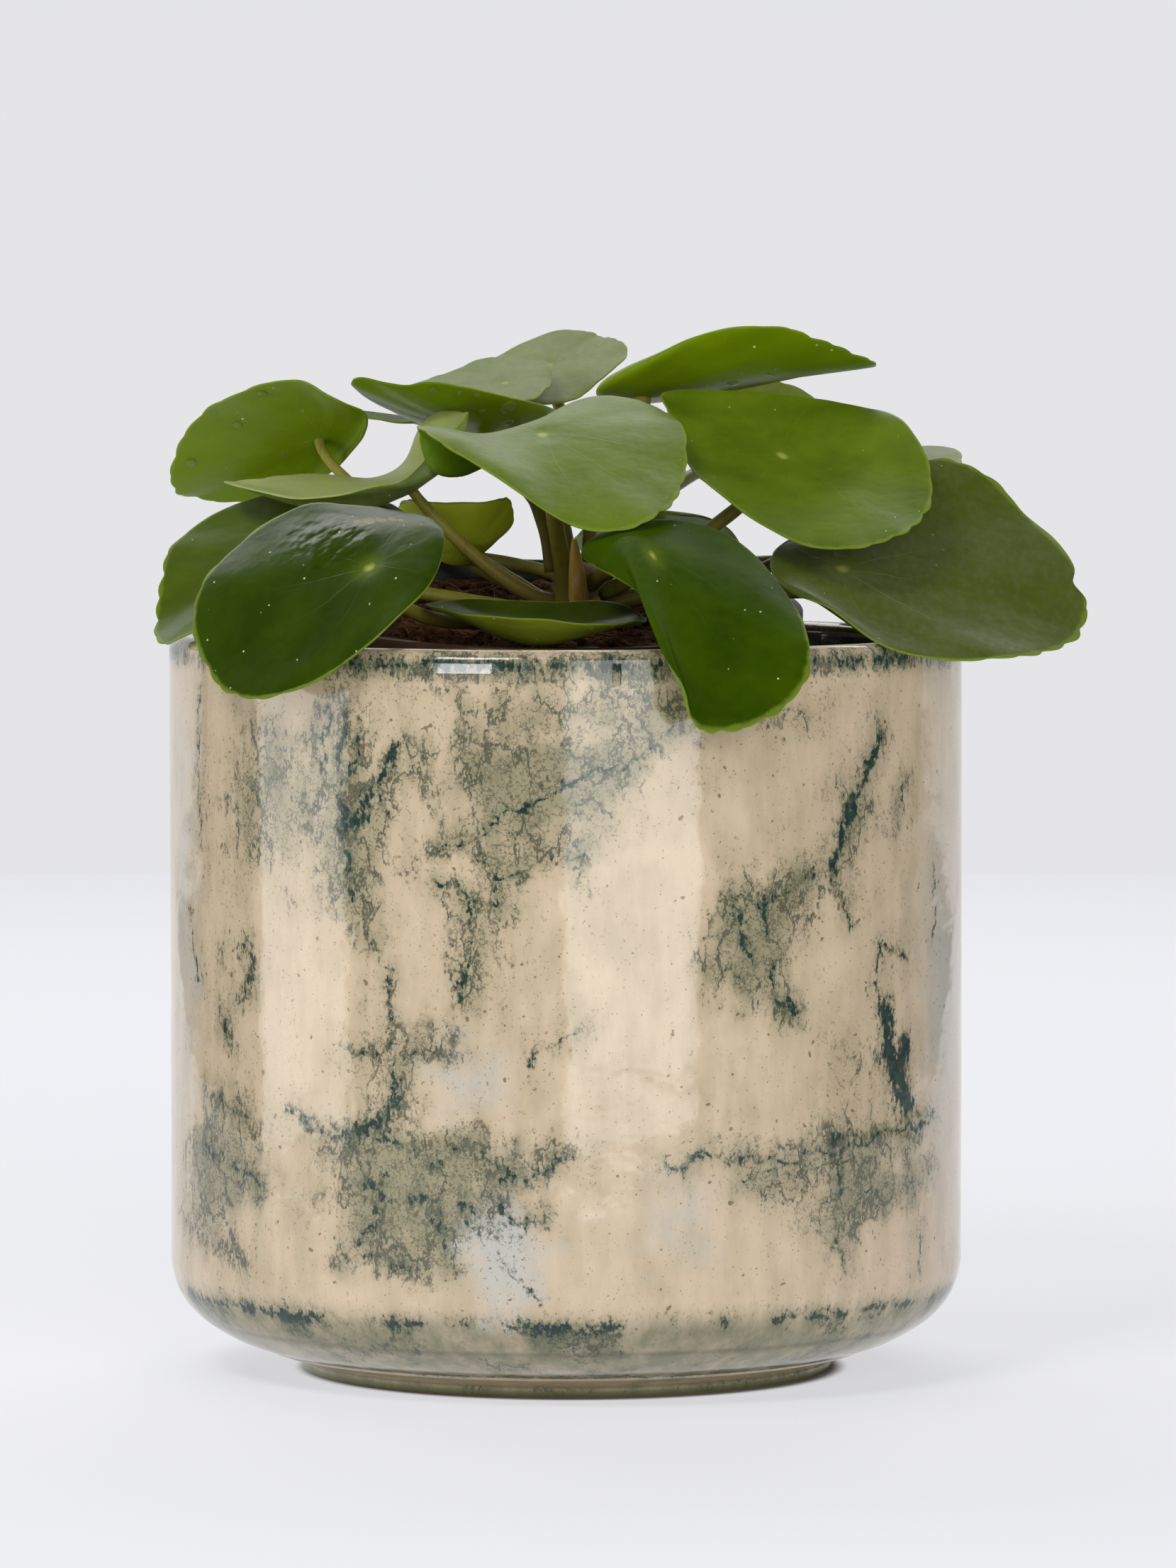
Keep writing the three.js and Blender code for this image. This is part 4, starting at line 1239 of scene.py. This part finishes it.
@dataclass
class Blade:
    """Makes the mesh of a leaf's blade."""

    leaf: Leaf
    seed: int
    sectors: int = 216
    rings: int = 22
    thickness: float = 0.8
    edge_thickness: float = 0.24
    ripple: float = 0.16
    quilt: float = 0.12
    navel_depth: float = 0.35
    navel_reach: float = 0.1

    def build(self) -> bpy.types.Object:
        """Make and dress the blade.

        Returns:
            The blade.
        """
        leaf, chance = self.leaf, random.Random(self.seed)
        angle = angles_round(self.sectors)
        reach = leaf.edge_reach(angle, chance)
        rho = np.sin(np.linspace(0, 1, self.rings + 1)[1:] * math.pi / 2) ** 0.9
        s = rho[:, None] * (reach * np.cos(angle))
        t = rho[:, None] * (reach * np.sin(angle))
        s, t = np.concatenate([[0.0], s.ravel()]), np.concatenate([[0.0], t.ravel()])
        ring = np.concatenate([[0.0], np.repeat(rho, self.sectors)])
        around = np.concatenate([[0.0], np.tile(angle, self.rings)])
        middle, normal = leaf.surface(s, t), leaf.normal(s, t)
        phases = [chance.uniform(0, 2 * math.pi) for _ in range(4)]
        lift = leaf.edge_wave * ring ** 3 * np.sin(5 * around)
        ripple = np.sin(9 * around + phases[0]) * np.sin(3 * around + phases[1])
        lift = lift + self.ripple * ring ** 2 * ripple
        lift = lift + self.quilt * np.sin(5 * s + phases[2]) * np.sin(6 * t + phases[3])
        lift = lift - self.navel_depth * np.exp(-((ring / self.navel_reach) ** 2))
        half = self.edge_thickness / 2
        half = half + (self.thickness - self.edge_thickness) / 2 * np.sqrt(1 - ring ** 8)
        pairs = np.stack([s, t], -1) / 2 + 0.5
        skin = Skin()
        fan = [(0, 1 + k, 1 + (k + 1) % self.sectors) for k in range(self.sectors)]
        faces = fan + grid_faces(self.rings, self.sectors, 1, flip=True)
        top = skin.add(middle + normal * (lift + half)[:, None], faces, LeafSide.UPPER.value, pairs)
        faces = [face[::-1] for face in faces]
        low = skin.add(middle + normal * (lift - half)[:, None], faces, LeafSide.UNDER.value, pairs)
        last = 1 + (self.rings - 1) * self.sectors
        for k in range(self.sectors):
            beside = (k + 1) % self.sectors
            skin.faces.append((top + last + k, low + last + k, low + last + beside, top + last + beside))
            skin.finishes.append(LeafSide.UPPER.value)
        materials = [
            LeafFinish(f"{leaf.name}_{side.name.lower()}", side, leaf.tone).material() for side in LeafSide
        ]
        return skin.build(f"{leaf.name}_skin", materials, "leaf", f"{leaf.name}_blade")


def tube(points: np.ndarray, radii: np.ndarray, sides: int, skin: Skin, finish: int = 0) -> None:
    """Add a closed round tube along a line.

    Args:
        points: The middle line, in millimetres.
        radii: The radius at each point.
        sides: How many sides it has.
        skin: The mesh that it is added to.
        finish: Its material number.
    """
    tangents = np.gradient(points, axis=0)
    tangents /= np.linalg.norm(tangents, axis=1, keepdims=True)
    helper = np.array([0.0, 0.0, 1.0]) if abs(tangents[0][2]) < 0.8 else np.array([1.0, 0.0, 0.0])
    across = np.cross(tangents[0], helper)
    rings = []
    angles = angles_round(sides)
    for point, tangent, radius in zip(points, tangents, radii):
        across = across - tangent * float(across @ tangent)
        across /= np.linalg.norm(across)
        other = np.cross(tangent, across)
        rings.append(point + radius * (np.cos(angles)[:, None] * across + np.sin(angles)[:, None] * other))
    corners = np.concatenate([*rings, points[:1], points[-1:]])
    skin.add(corners, closed_faces(len(rings), sides), finish)


@dataclass
class WaterDrops:
    """The drops that hang under some leaves."""

    leaf: Leaf
    flatness: float = 0.26
    sag: float = 1.12
    blade_half: float = 0.42
    levels: int = 7
    columns: int = 20

    def build(self) -> bpy.types.Object:
        """Make and dress the drops.

        Returns:
            The drops.
        """
        skin = Skin()
        turn = angles_round(self.columns)[:, None]
        faces = closed_faces(self.levels, self.columns)
        for s, t, radius in self.leaf.drops:
            out = -self.leaf.normal(s, t)
            foot = self.leaf.surface(s, t) + out * self.blade_half
            across = np.cross(out, [0.0, 0.0, 1.0])
            across /= np.linalg.norm(across)
            ring = np.cos(turn) * across + np.sin(turn) * np.cross(across, out) * self.sag
            rows = []
            for angle in np.linspace(0, math.pi / 2, self.levels):
                reach = max(radius * math.cos(angle), 0.02)
                rows.append(foot + ring * reach + out * radius * self.flatness * math.sin(angle))
            ends = np.stack([foot - out * 0.05, foot + out * radius * self.flatness])
            skin.add(np.concatenate([*rows, ends]), faces)
        return skin.build(f"{self.leaf.name}_drops", [DropFinish().material()], "leaf")


@dataclass
class MainStem:
    """The short stem that every leaf stalk grows from, with its scars and stipules."""

    x: float = 2.5
    y: float = 1.0
    radius: float = 5.5
    bottom: float = 130.0
    top: float = 153.0
    rows: int = 60
    columns: int = 56
    stipule_material: int = 1
    stipules: tuple[tuple[Point, Point, Point, float], ...] = (
        ((2.6, -4.9, 145), (2.2, -7.0, 150), (1.6, -8.0, 157.5), 1.3),
        ((4.8, -3.8, 143.6), (5.6, -5.2, 145), (6.0, -5.8, 146.6), 1.0),
    )

    def build(self) -> bpy.types.Object:
        """Make and dress the stem.

        Returns:
            The stem.
        """
        skin = Skin()
        height = np.linspace(self.bottom, self.top, self.rows)[:, None]
        angle = angles_round(self.columns)[None, :]
        dome = np.sqrt(np.clip(1 - ((height - self.top + 4) / 4).clip(0) ** 2, 0.02, 1))
        lumps = 0.22 * np.sin(3 * angle + height * 0.9) + 0.18 * np.sin(7 * angle - height * 1.7)
        rings = 0.16 * np.sin(height * 2.6 + np.sin(angle * 2))
        radius = (self.radius - 0.35 + lumps + rings) * dome
        x, y = self.x + radius * np.cos(angle), self.y + radius * np.sin(angle)
        corners = np.stack([x, y, height + 0 * angle], -1).reshape(-1, 3)
        ends = [[self.x, self.y, self.bottom], [self.x, self.y, self.top + 0.2]]
        skin.add(np.concatenate([corners, ends]), closed_faces(self.rows, self.columns))
        for foot, middle, tip, width in self.stipules:
            u = np.linspace(0, 1, 24)[:, None]
            line = (1 - u) ** 2 * np.array(foot) + 2 * (1 - u) * u * np.array(middle) + u * u * np.array(tip)
            taper = width * (1.42 - 1.12 * u[:, 0] ** 2.2) + 0.1
            tube(line, taper, 20, skin, self.stipule_material)
        materials = [StemFinish().material(), StipuleFinish().material()]
        return skin.build("main_stem_skin", materials, "stem", "main_stem")


@dataclass
class LeafStalk:
    """Makes the mesh of a leaf's stalk."""

    leaf: Leaf
    stem: MainStem
    steps: int = 56
    sides: int = 20
    green: Colour = (0.175, 0.178, 0.016)
    brown: Colour = (0.170, 0.105, 0.030)
    pale: Colour = (0.30, 0.27, 0.050)

    def build(self) -> bpy.types.Object:
        """Make and dress the stalk.

        Returns:
            The stalk.
        """
        stalk = self.leaf.petiole
        u = np.linspace(0, 1, self.steps + 1)
        radii = stalk.root + (stalk.top - stalk.root) * u
        radii = radii * (1 + 0.28 * np.exp(-((1 - u) / 0.03) ** 2) + 0.12 * np.exp(-(u / 0.06) ** 2))
        radii = radii * (1 + 0.02 * np.sin(u * 43 + stalk.angle))
        skin = Skin()
        tube(self.leaf.curve(self.stem, self.steps), radii, self.sides, skin)
        base = self.blend(self.brown, self.green)
        top = self.blend(self.green, self.pale)
        name = self.leaf.name
        finish = PetioleFinish(f"{name}_stalk", base, top, stalk.height, self.leaf.attach[2])
        return skin.build(f"{name}_stalk_skin", [finish.material()], "petiole", f"{name}_petiole")

    def blend(self, first: Colour, second: Colour) -> Colour:
        """Mix a brown stalk's colour and a green one's by how brown this one is."""
        share = self.leaf.petiole.brown
        return tuple(a * share + b * (1 - share) for a, b in zip(first, second))


@dataclass
class CeramicPot:
    """The glazed cover pot. Its belly is a route of points, each a radius and a height."""

    outer_radius: float = 75.0
    inner_radius: float = 69.0
    height: float = 139.5
    rim_round: float = 2.6
    foot_radius: float = 50.6
    foot_height: float = 1.6
    foot_round: float = 0.8
    band: Pair = (57.6, 4.4)
    belly: tuple[Pair, ...] = ((63.8, 6.7), (69.7, 10.4), (73.3, 14.8), (75.0, 20.5))
    belly_end: float = 27.0
    floor: float = 11.5
    floor_fillet: float = 9.0
    columns: int = 256

    def profile(self) -> list[Pair]:
        """Draw the pot's closed section, from the middle of its underside to the middle of its floor.

        Returns:
            Pairs of radius and height.
        """
        foot, rise, turn = self.foot_radius, self.foot_height, self.foot_round
        points = [(0.0, 0.0), *between((0.0, 0.0), (foot - turn, 0.0), 6)]
        points += arc((foot - turn, turn), turn, -70, 0, 4)
        points += arc((foot + 0.8, rise - 0.1), 0.7, 180, 110, 4)
        radius, height = self.band
        points += between(points[-1], (radius - 0.5, height - 0.25), 6)
        points += [(radius - 0.15, height + 0.10), (radius + 0.15, height + 0.20)]
        lead_in = [points[-7], (radius + 0.5, height + 0.20)]
        points += smooth([*lead_in, *self.belly, (self.outer_radius, self.belly_end)], 6)
        side_top = self.height - self.rim_round
        points += [self.belly[-1], *between(self.belly[-1], (self.outer_radius, side_top), 26)]
        points += arc((self.outer_radius - self.rim_round, side_top), self.rim_round, 9, 90, 8)
        points += arc((self.inner_radius + self.rim_round, side_top), self.rim_round, 90, 180, 9)
        floor_corner = (self.inner_radius - self.floor_fillet, self.floor + self.floor_fillet)
        points += between(points[-1], (self.inner_radius, floor_corner[1] + 0.5), 16)
        points += arc(floor_corner, self.floor_fillet, 0, -90, 8)
        points += between((floor_corner[0], self.floor), (0.6, self.floor), 5)
        return points + [(0.0, self.floor)]

    def build(self) -> bpy.types.Object:
        """Make and dress the pot.

        Returns:
            The pot.
        """
        skin = turned(self.profile(), self.columns, self.throw)
        return skin.build("ceramic_pot_skin", [GlazeFinish().material()], "glaze", "ceramic_pot")

    def throw(self, corners: np.ndarray) -> np.ndarray:
        """Give the turned form the slight unevenness of thrown clay.

        Args:
            corners: Points of the even form.

        Returns:
            The points, in millimetres.
        """
        angle = np.arctan2(corners[:, 1], corners[:, 0])
        uneven = 0.10 * np.sin(2 * angle + 1) + 0.07 * np.sin(3 * angle + corners[:, 2] * 0.03)
        side = np.clip(corners[:, 2] / 20, 0, 1)
        scale = 1 + side * uneven / self.outer_radius
        return corners * np.stack([scale, scale, np.ones_like(scale)], -1)


@dataclass
class NurseryPot:
    """The plastic pot that leans forward on the cover pot's floor."""

    rim_centre: Point = (-6.0, 0.0, 145.2)
    lean_forward: float = math.radians(7.4)
    lean_side: float = math.radians(-1.2)
    rim_radius: float = 51.0
    lip_radius: float = 50.2
    lip_height: float = 8.0
    bottom_radius: float = 39.0
    depth: float = 129.0
    wall: float = 1.2
    base_round: float = 1.5
    lip_round: float = 0.5
    drain_holes: int = 5
    drain_radius: float = 4.0
    drain_circle: float = 24.0
    drain_sides: int = 28
    columns: int = 160

    def place(self, corners: np.ndarray) -> np.ndarray:
        """Move points from the pot's own frame to where it leans.

        Args:
            corners: Points whose origin is the centre of the rim.

        Returns:
            The points, in millimetres.
        """
        a, b = self.lean_forward, -self.lean_side
        forward = np.array([[1, 0, 0], [0, math.cos(a), -math.sin(a)], [0, math.sin(a), math.cos(a)]])
        sideways = np.array([[math.cos(b), 0, math.sin(b)], [0, 1, 0], [-math.sin(b), 0, math.cos(b)]])
        return corners @ (forward @ sideways).T + np.array(self.rim_centre)

    def radius_at(self, depth: float) -> float:
        """Return the outside radius at a depth below the rim."""
        return self.lip_radius + (self.bottom_radius - self.lip_radius) * depth / self.depth

    def build(self) -> bpy.types.Object:
        """Make and dress the pot.

        Returns:
            The pot.
        """
        rim, wall, depth, lip = self.rim_radius, self.wall, self.depth, self.lip_height
        corner = self.bottom_radius - self.base_round
        profile = [(0.0, -depth), *between((0.0, -depth), (corner, -depth), 5)]
        profile += arc((corner, -depth + self.base_round), self.base_round, -60, 0, 4)
        neck = (self.radius_at(lip), -lip)
        profile += between(profile[-1], neck, 20)
        profile += [(rim - 0.3, -lip + 0.3), (rim, -lip + 0.7), (rim, -0.7)]
        profile += arc((rim - self.lip_round, -self.lip_round), self.lip_round, 20, 90, 4)
        profile += between(profile[-1], (self.radius_at(0) - wall + 0.4, 0.0), 3)
        profile += [(self.radius_at(0) - wall, -0.4)]
        profile += between(profile[-1], (self.radius_at(depth) - wall, -depth + wall), 20)
        profile += between(profile[-1], (0.5, -depth + wall), 5)
        profile += [(0.0, -depth + wall)]
        skin = turned(profile, self.columns, self.place)
        pot = skin.build("nursery_pot_skin", [PlasticFinish().material()], "nursery_plastic", "nursery_pot")
        self.drill(pot)
        return pot

    def drill(self, pot: bpy.types.Object) -> None:
        """Cut the drain holes through the pot's floor.

        Args:
            pot: The pot's mesh.
        """
        points, faces = [], []
        around = angles_round(self.drain_sides)
        circle = np.stack([np.cos(around), np.sin(around)], -1) * self.drain_radius
        for number in range(self.drain_holes):
            turn = 2 * math.pi * number / self.drain_holes
            middle = np.array([math.cos(turn), math.sin(turn)]) * self.drain_circle
            first = len(points) * len(around)
            for height in (-self.depth - 3, -self.depth + self.wall * 2):
                level = np.full((len(around), 1), height)
                points.append(np.concatenate([circle + middle, level], 1))
            faces += grid_faces(2, len(around), first)
            faces.append(tuple(range(first + len(around) - 1, first - 1, -1)))
            faces.append(tuple(range(first + len(around), first + 2 * len(around))))
        mesh = new_mesh("drills", self.place(np.concatenate(points)) * MM, faces)
        drills = new_object("drills", mesh)
        cut = pot.modifiers.new("drain", "BOOLEAN")
        cut.operation, cut.solver, cut.object = "DIFFERENCE", "EXACT", drills
        drilled = pot.evaluated_get(bpy.context.evaluated_depsgraph_get())
        pot.data = bpy.data.meshes.new_from_object(drilled)
        pot.modifiers.clear()
        bpy.data.objects.remove(drills)
        bpy.data.meshes.remove(mesh)


class SoilPart(Enum):
    """What the compost holds, by the number of its material."""

    PEAT = 0
    BARK = 1
    COIR = 2
    STRAW = 3


@dataclass
class Soil:
    """The compost: a rough top with lumps, bark and coconut fibre on it."""

    nursery: NurseryPot
    stem: MainStem
    below_rim: float = 3.4
    roughness: float = 0.55
    grain: float = 0.28
    dish_depth: float = 2.2
    dish_inner: float = 9.0
    dish_outer: float = 14.0
    rings: int = 110
    columns: int = 300
    lumps: int = 620
    smallest_lump: float = 0.45
    lump_growth: float = 1.5
    lump_stretch: tuple[Pair, ...] = ((0.7, 1.5), (0.7, 1.3), (0.4, 0.8))
    fibres: int = 190
    fibre_points: int = 9
    fibre_lengths: Pair = (3.0, 9.0)
    fibre_bend: float = 0.18
    fibre_radii: Pair = (0.10, 0.22)
    strip_ends: Pair = (8.0, 24.0)
    strip_front: float = -41.5
    strip_radius: float = 0.75
    seed: int = 41

    def height(self, x: Places, y: Places) -> Places:
        """Find the height of the compost in the nursery pot's frame.

        Args:
            x: Places across the pot.
            y: Places front to back.

        Returns:
            Heights below the rim, in millimetres.
        """
        bumps = np.sin(0.31 * x + 1.3) * np.sin(0.37 * y + 0.4)
        bumps = bumps + 0.6 * np.sin(0.83 * x + 0.2 * y) * np.sin(0.71 * y - 0.3 * x + 2)
        fine = np.sin(2.1 * x + 1.7 * np.sin(1.3 * y)) * np.sin(2.6 * y + 1.1 * np.sin(1.9 * x))
        from_stem = np.hypot(x - self.stem.x + self.nursery.rim_centre[0], y - self.stem.y)
        dish = np.clip((self.dish_outer - from_stem) / (self.dish_outer - self.dish_inner), 0, 1)
        return -self.below_rim + self.roughness * bumps + self.grain * fine - self.dish_depth * dish

    def build(self) -> bpy.types.Object:
        """Make and dress the compost.

        Returns:
            The compost.
        """
        nursery, skin, chance = self.nursery, Skin(), random.Random(self.seed)
        radius = np.linspace(0.6, self.reach(0.15), self.rings)[:, None]
        angle = angles_round(self.columns)
        x, y = radius * np.cos(angle), radius * np.sin(angle)
        top = np.stack([x, y, self.height(x, y)], -1).reshape(-1, 3)
        low = -nursery.depth + nursery.wall + 0.3
        low_radius = nursery.radius_at(nursery.depth) - nursery.wall - 0.4
        ring = np.stack([low_radius * np.cos(angle), low_radius * np.sin(angle), 0 * angle + low], -1)
        ends = [[0, 0, self.height(0.0, 0.0)], [0, 0, low]]
        corners = nursery.place(np.concatenate([top, ring, ends]))
        skin.add(corners, closed_faces(self.rings + 1, self.columns, flip=True))
        self.scatter_lumps(skin, chance)
        self.scatter_fibres(skin, chance)
        self.lay_strip(skin)
        materials = [
            SoilFinish().material(),
            FibreFinish("bark_bit", (0.150, 0.066, 0.027)).material(),
            FibreFinish("coir", (0.26, 0.105, 0.036)).material(),
            FibreFinish("straw", (0.50, 0.40, 0.25)).material(),
        ]
        return skin.build("soil_skin", materials, "soil", "soil")

    def reach(self, margin: float) -> float:
        """Return how far the compost's top reaches, short of the pot's wall by a margin."""
        return self.nursery.radius_at(self.below_rim) - self.nursery.wall - margin

    def spot(self, chance: random.Random, margin: float) -> Pair:
        """Draw a place on the compost.

        Args:
            chance: Where it is drawn from.
            margin: How far it stays from the pot's wall.

        Returns:
            The place in the nursery pot's frame.
        """
        distance = self.reach(margin) * math.sqrt(chance.random())
        angle = chance.uniform(0, 2 * math.pi)
        return distance * math.cos(angle), distance * math.sin(angle)

    def scatter_lumps(self, skin: Skin, chance: random.Random) -> None:
        """Scatter small lumps of peat and bark.

        Args:
            skin: The mesh that they are added to.
            chance: Where they are drawn from.
        """
        levels, columns = 5, 8
        down = np.linspace(0, math.pi, levels + 2)[1:-1, None]
        around = angles_round(columns)
        rows = np.stack([np.sin(down) * np.cos(around), np.sin(down) * np.sin(around),
                         np.cos(down) + 0 * around], -1)
        ball = np.concatenate([rows.reshape(-1, 3), [[0, 0, 1], [0, 0, -1]]])
        faces = closed_faces(levels, columns, flip=True)
        for number in range(self.lumps):
            x, y = self.spot(chance, 3.0)
            size = self.smallest_lump + self.lump_growth * chance.random() ** 3
            shape = ball * np.array([chance.uniform(*ends) for ends in self.lump_stretch])
            shape = shape * (1 + 0.18 * np.sin(ball * 7 + number).sum(1, keepdims=True) / 2)
            moved = shape * size + np.array([x, y, self.height(x, y) + size * 0.15])
            part = SoilPart.PEAT if number % 3 else SoilPart.BARK
            skin.add(self.nursery.place(moved), faces, part.value)

    def scatter_fibres(self, skin: Skin, chance: random.Random) -> None:
        """Scatter curved fibres.

        Args:
            skin: The mesh that they are added to.
            chance: Where they are drawn from.
        """
        for _ in range(self.fibres):
            x, y = self.spot(chance, 7.0)
            turn, length = chance.uniform(0, 2 * math.pi), chance.uniform(*self.fibre_lengths)
            bend = chance.uniform(-self.fibre_bend, self.fibre_bend)
            steps = np.linspace(0, 1, self.fibre_points)
            heading = turn + bend * steps * length
            stride = length / self.fibre_points
            px = x + np.cumsum(np.cos(heading)) * stride - length / 2 * math.cos(turn)
            py = y + np.cumsum(np.sin(heading)) * stride - length / 2 * math.sin(turn)
            pz = self.height(px, py) + 0.22 + 0.9 * chance.random() * np.sin(steps * math.pi)
            if np.hypot(px, py).max() > self.reach(0.6):
                continue
            line = self.nursery.place(np.stack([px, py, pz], -1))
            radii = np.full(self.fibre_points, chance.uniform(*self.fibre_radii))
            tube(line, radii, 6, skin, SoilPart.COIR.value)

    def lay_strip(self, skin: Skin) -> None:
        """Lay the flat straw-coloured strip of bark near the front rim.

        Args:
            skin: The mesh that it is added to.
        """
        x = np.linspace(*self.strip_ends, 14)
        y = self.strip_front + 0.02 * (x - sum(self.strip_ends) / 2) ** 2
        z = self.height(x, y) + 1.1
        line = self.nursery.place(np.stack([x, y, z], -1))
        tube(line, self.strip_radius + 0.15 * np.sin(x), 8, skin, SoilPart.STRAW.value)


@dataclass(frozen=True)
class BoxLight:
    """One soft rectangular light, in metres. White paper in even light has brightness 1."""

    name: str
    place: Point
    aim: Point
    size: Pair
    brightness: float
    watts: float = 4.0

    def hang(self) -> None:
        """Put the light in its place and point it."""
        data = bpy.data.lights.new(self.name, "AREA")
        data.shape = "RECTANGLE"
        data.size, data.size_y = self.size
        data.energy = self.brightness * self.watts * self.size[0] * self.size[1]
        light = new_object(self.name, data)
        light.location = self.place
        toward = [end - start for start, end in zip(self.place, self.aim)]
        heading = math.atan2(toward[1], toward[0])
        dip = math.atan2(math.hypot(toward[0], toward[1]), -toward[2])
        light.rotation_euler = (dip, 0, heading - math.pi / 2)


@dataclass
class Stage:
    """The pale floor and backdrop, the camera and the lights, in metres; only the sizes of the painted
    contact shadow round the pot's foot are in mm.
    """

    wall_distance: float = 4.0
    wall_ends: Pair = (-4.8, 5.5)
    wall_heights: Pair = (-0.25, 4.5)
    wall_glow: Colour = (0.783, 0.783, 0.799)
    table_ends: Pair = (-0.52, 0.52)
    table_depth: Pair = (-0.56, 1.338)
    floor_grey: Colour = (0.36, 0.36, 0.37)
    floor_glow: Colour = (0.548, 0.552, 0.580)
    # painted contact shadow: its middle, and the radii in mm where it is black and where it has faded out
    painted_shadow_middle: Point = (1.0, -1.6, 0.0)
    painted_shadow_reach: Pair = (49.5, 53.0)
    camera_place: Point = (0.0042, -1.690, 0.212)
    camera_dip: float = math.radians(3.427)
    lens: float = 204.8
    sensor: float = 36.0
    view_end: float = 50.0
    room_light: Colour = (0.95, 0.97, 1.0)
    room_strength: float = 0.16
    boxes: tuple[BoxLight, ...] = (
        BoxLight("front_box", (0.65, -1.89, 0.55), (0.0, 0.0, 0.55), (1.35, 1.6), 2.9),
        BoxLight("left_box", (-1.28, -0.226, 0.28), (0.0, 0.0, 0.28), (0.75, 0.85), 2.2),
        BoxLight("key_box", (-0.58, -1.00, 1.20), (0.0, 0.0, 0.10), (0.5, 0.4), 10.0),
        BoxLight("rear_box", (-0.15, 1.05, 1.05), (0.0, 0.0, 0.10), (1.5, 0.55), 2.4),
    )

    def sheet(self, name: str, material: bpy.types.Material, corners: list[Point]) -> None:
        """Lay out one sheet of paper.

        Args:
            name: Its name.
            material: Its material.
            corners: Its corners, in metres.
        """
        mesh = new_mesh(name, np.array(corners), [(0, 1, 2, 3)])
        mesh.materials.append(material)
        new_object(name, mesh)

    def sweep(self) -> None:
        """Make the floor and the wall behind it; both glow evenly, except round the pot's foot, where the
        floor's glow fades to black as a painted contact shadow.
        """
        wall = Shader("backdrop_paper").finish(
            Base_Color=BLACK, Roughness=1.0, Specular_IOR_Level=0.0,
            Emission_Color=self.wall_glow, Emission_Strength=1.0,
        )
        shader = Shader("floor_paper")
        place = shader.vector("MULTIPLY", shader.millimetres(), (1.0, 1.0, 0.0))
        # painted contact shadow: the floor's glow is black under the pot and fades in round its foot
        near = shader.vector("DISTANCE", place, self.painted_shadow_middle, output=1).step(*self.painted_shadow_reach)
        floor = shader.finish(
            Base_Color=self.floor_grey, Roughness=0.9, Specular_IOR_Level=0.05,
            Emission_Color=shader.mix(near, BLACK, self.floor_glow), Emission_Strength=1.0,
        )
        (left, right), (front, back) = self.table_ends, self.table_depth
        corners = [(left, front, 0), (right, front, 0), (right, back, 0), (left, back, 0)]
        self.sheet("floor", floor, corners)
        (left, right), (low, top), far = self.wall_ends, self.wall_heights, self.wall_distance
        corners = [(left, far, low), (right, far, low), (right, far, top), (left, far, top)]
        self.sheet("backdrop", wall, corners)

    def camera(self) -> None:
        """Set up the camera at the photograph's angle."""
        data = bpy.data.cameras.new("camera")
        data.sensor_fit = "VERTICAL"
        data.sensor_height = self.sensor
        data.lens = self.lens
        data.clip_end = self.view_end
        camera = new_object("camera", data)
        camera.location = self.camera_place
        camera.rotation_euler = (math.pi / 2 - self.camera_dip, 0, 0)
        bpy.context.scene.camera = camera

    def lights(self) -> None:
        """Hang the softboxes and set the room's even light."""
        for box in self.boxes:
            box.hang()
        world = bpy.data.worlds.new("room")
        world.use_nodes = True
        background = world.node_tree.nodes["Background"]
        background.inputs["Color"].default_value = (*self.room_light, 1.0)
        background.inputs["Strength"].default_value = self.room_strength
        bpy.context.scene.world = world
        bpy.context.scene.view_settings.view_transform = "Standard"

    def build(self) -> None:
        """Set up the whole stage."""
        self.sweep()
        self.camera()
        self.lights()


def main() -> None:
    """Load the frame, build every piece in order and record how big the result is."""
    logging.basicConfig(level=logging.INFO, format="%(name)s %(message)s")
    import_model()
    Stage().build()
    stem, nursery = MainStem(), NurseryPot()
    CeramicPot().build()
    nursery.build()
    Soil(nursery, stem).build()
    stem.build()
    for number, leaf in enumerate(LEAVES):
        Blade(leaf, seed=FIRST_LEAF_SEED + number).build()
        LeafStalk(leaf, stem).build()
        if leaf.drops:
            WaterDrops(leaf).build()


if __name__ == "__main__":
    main()
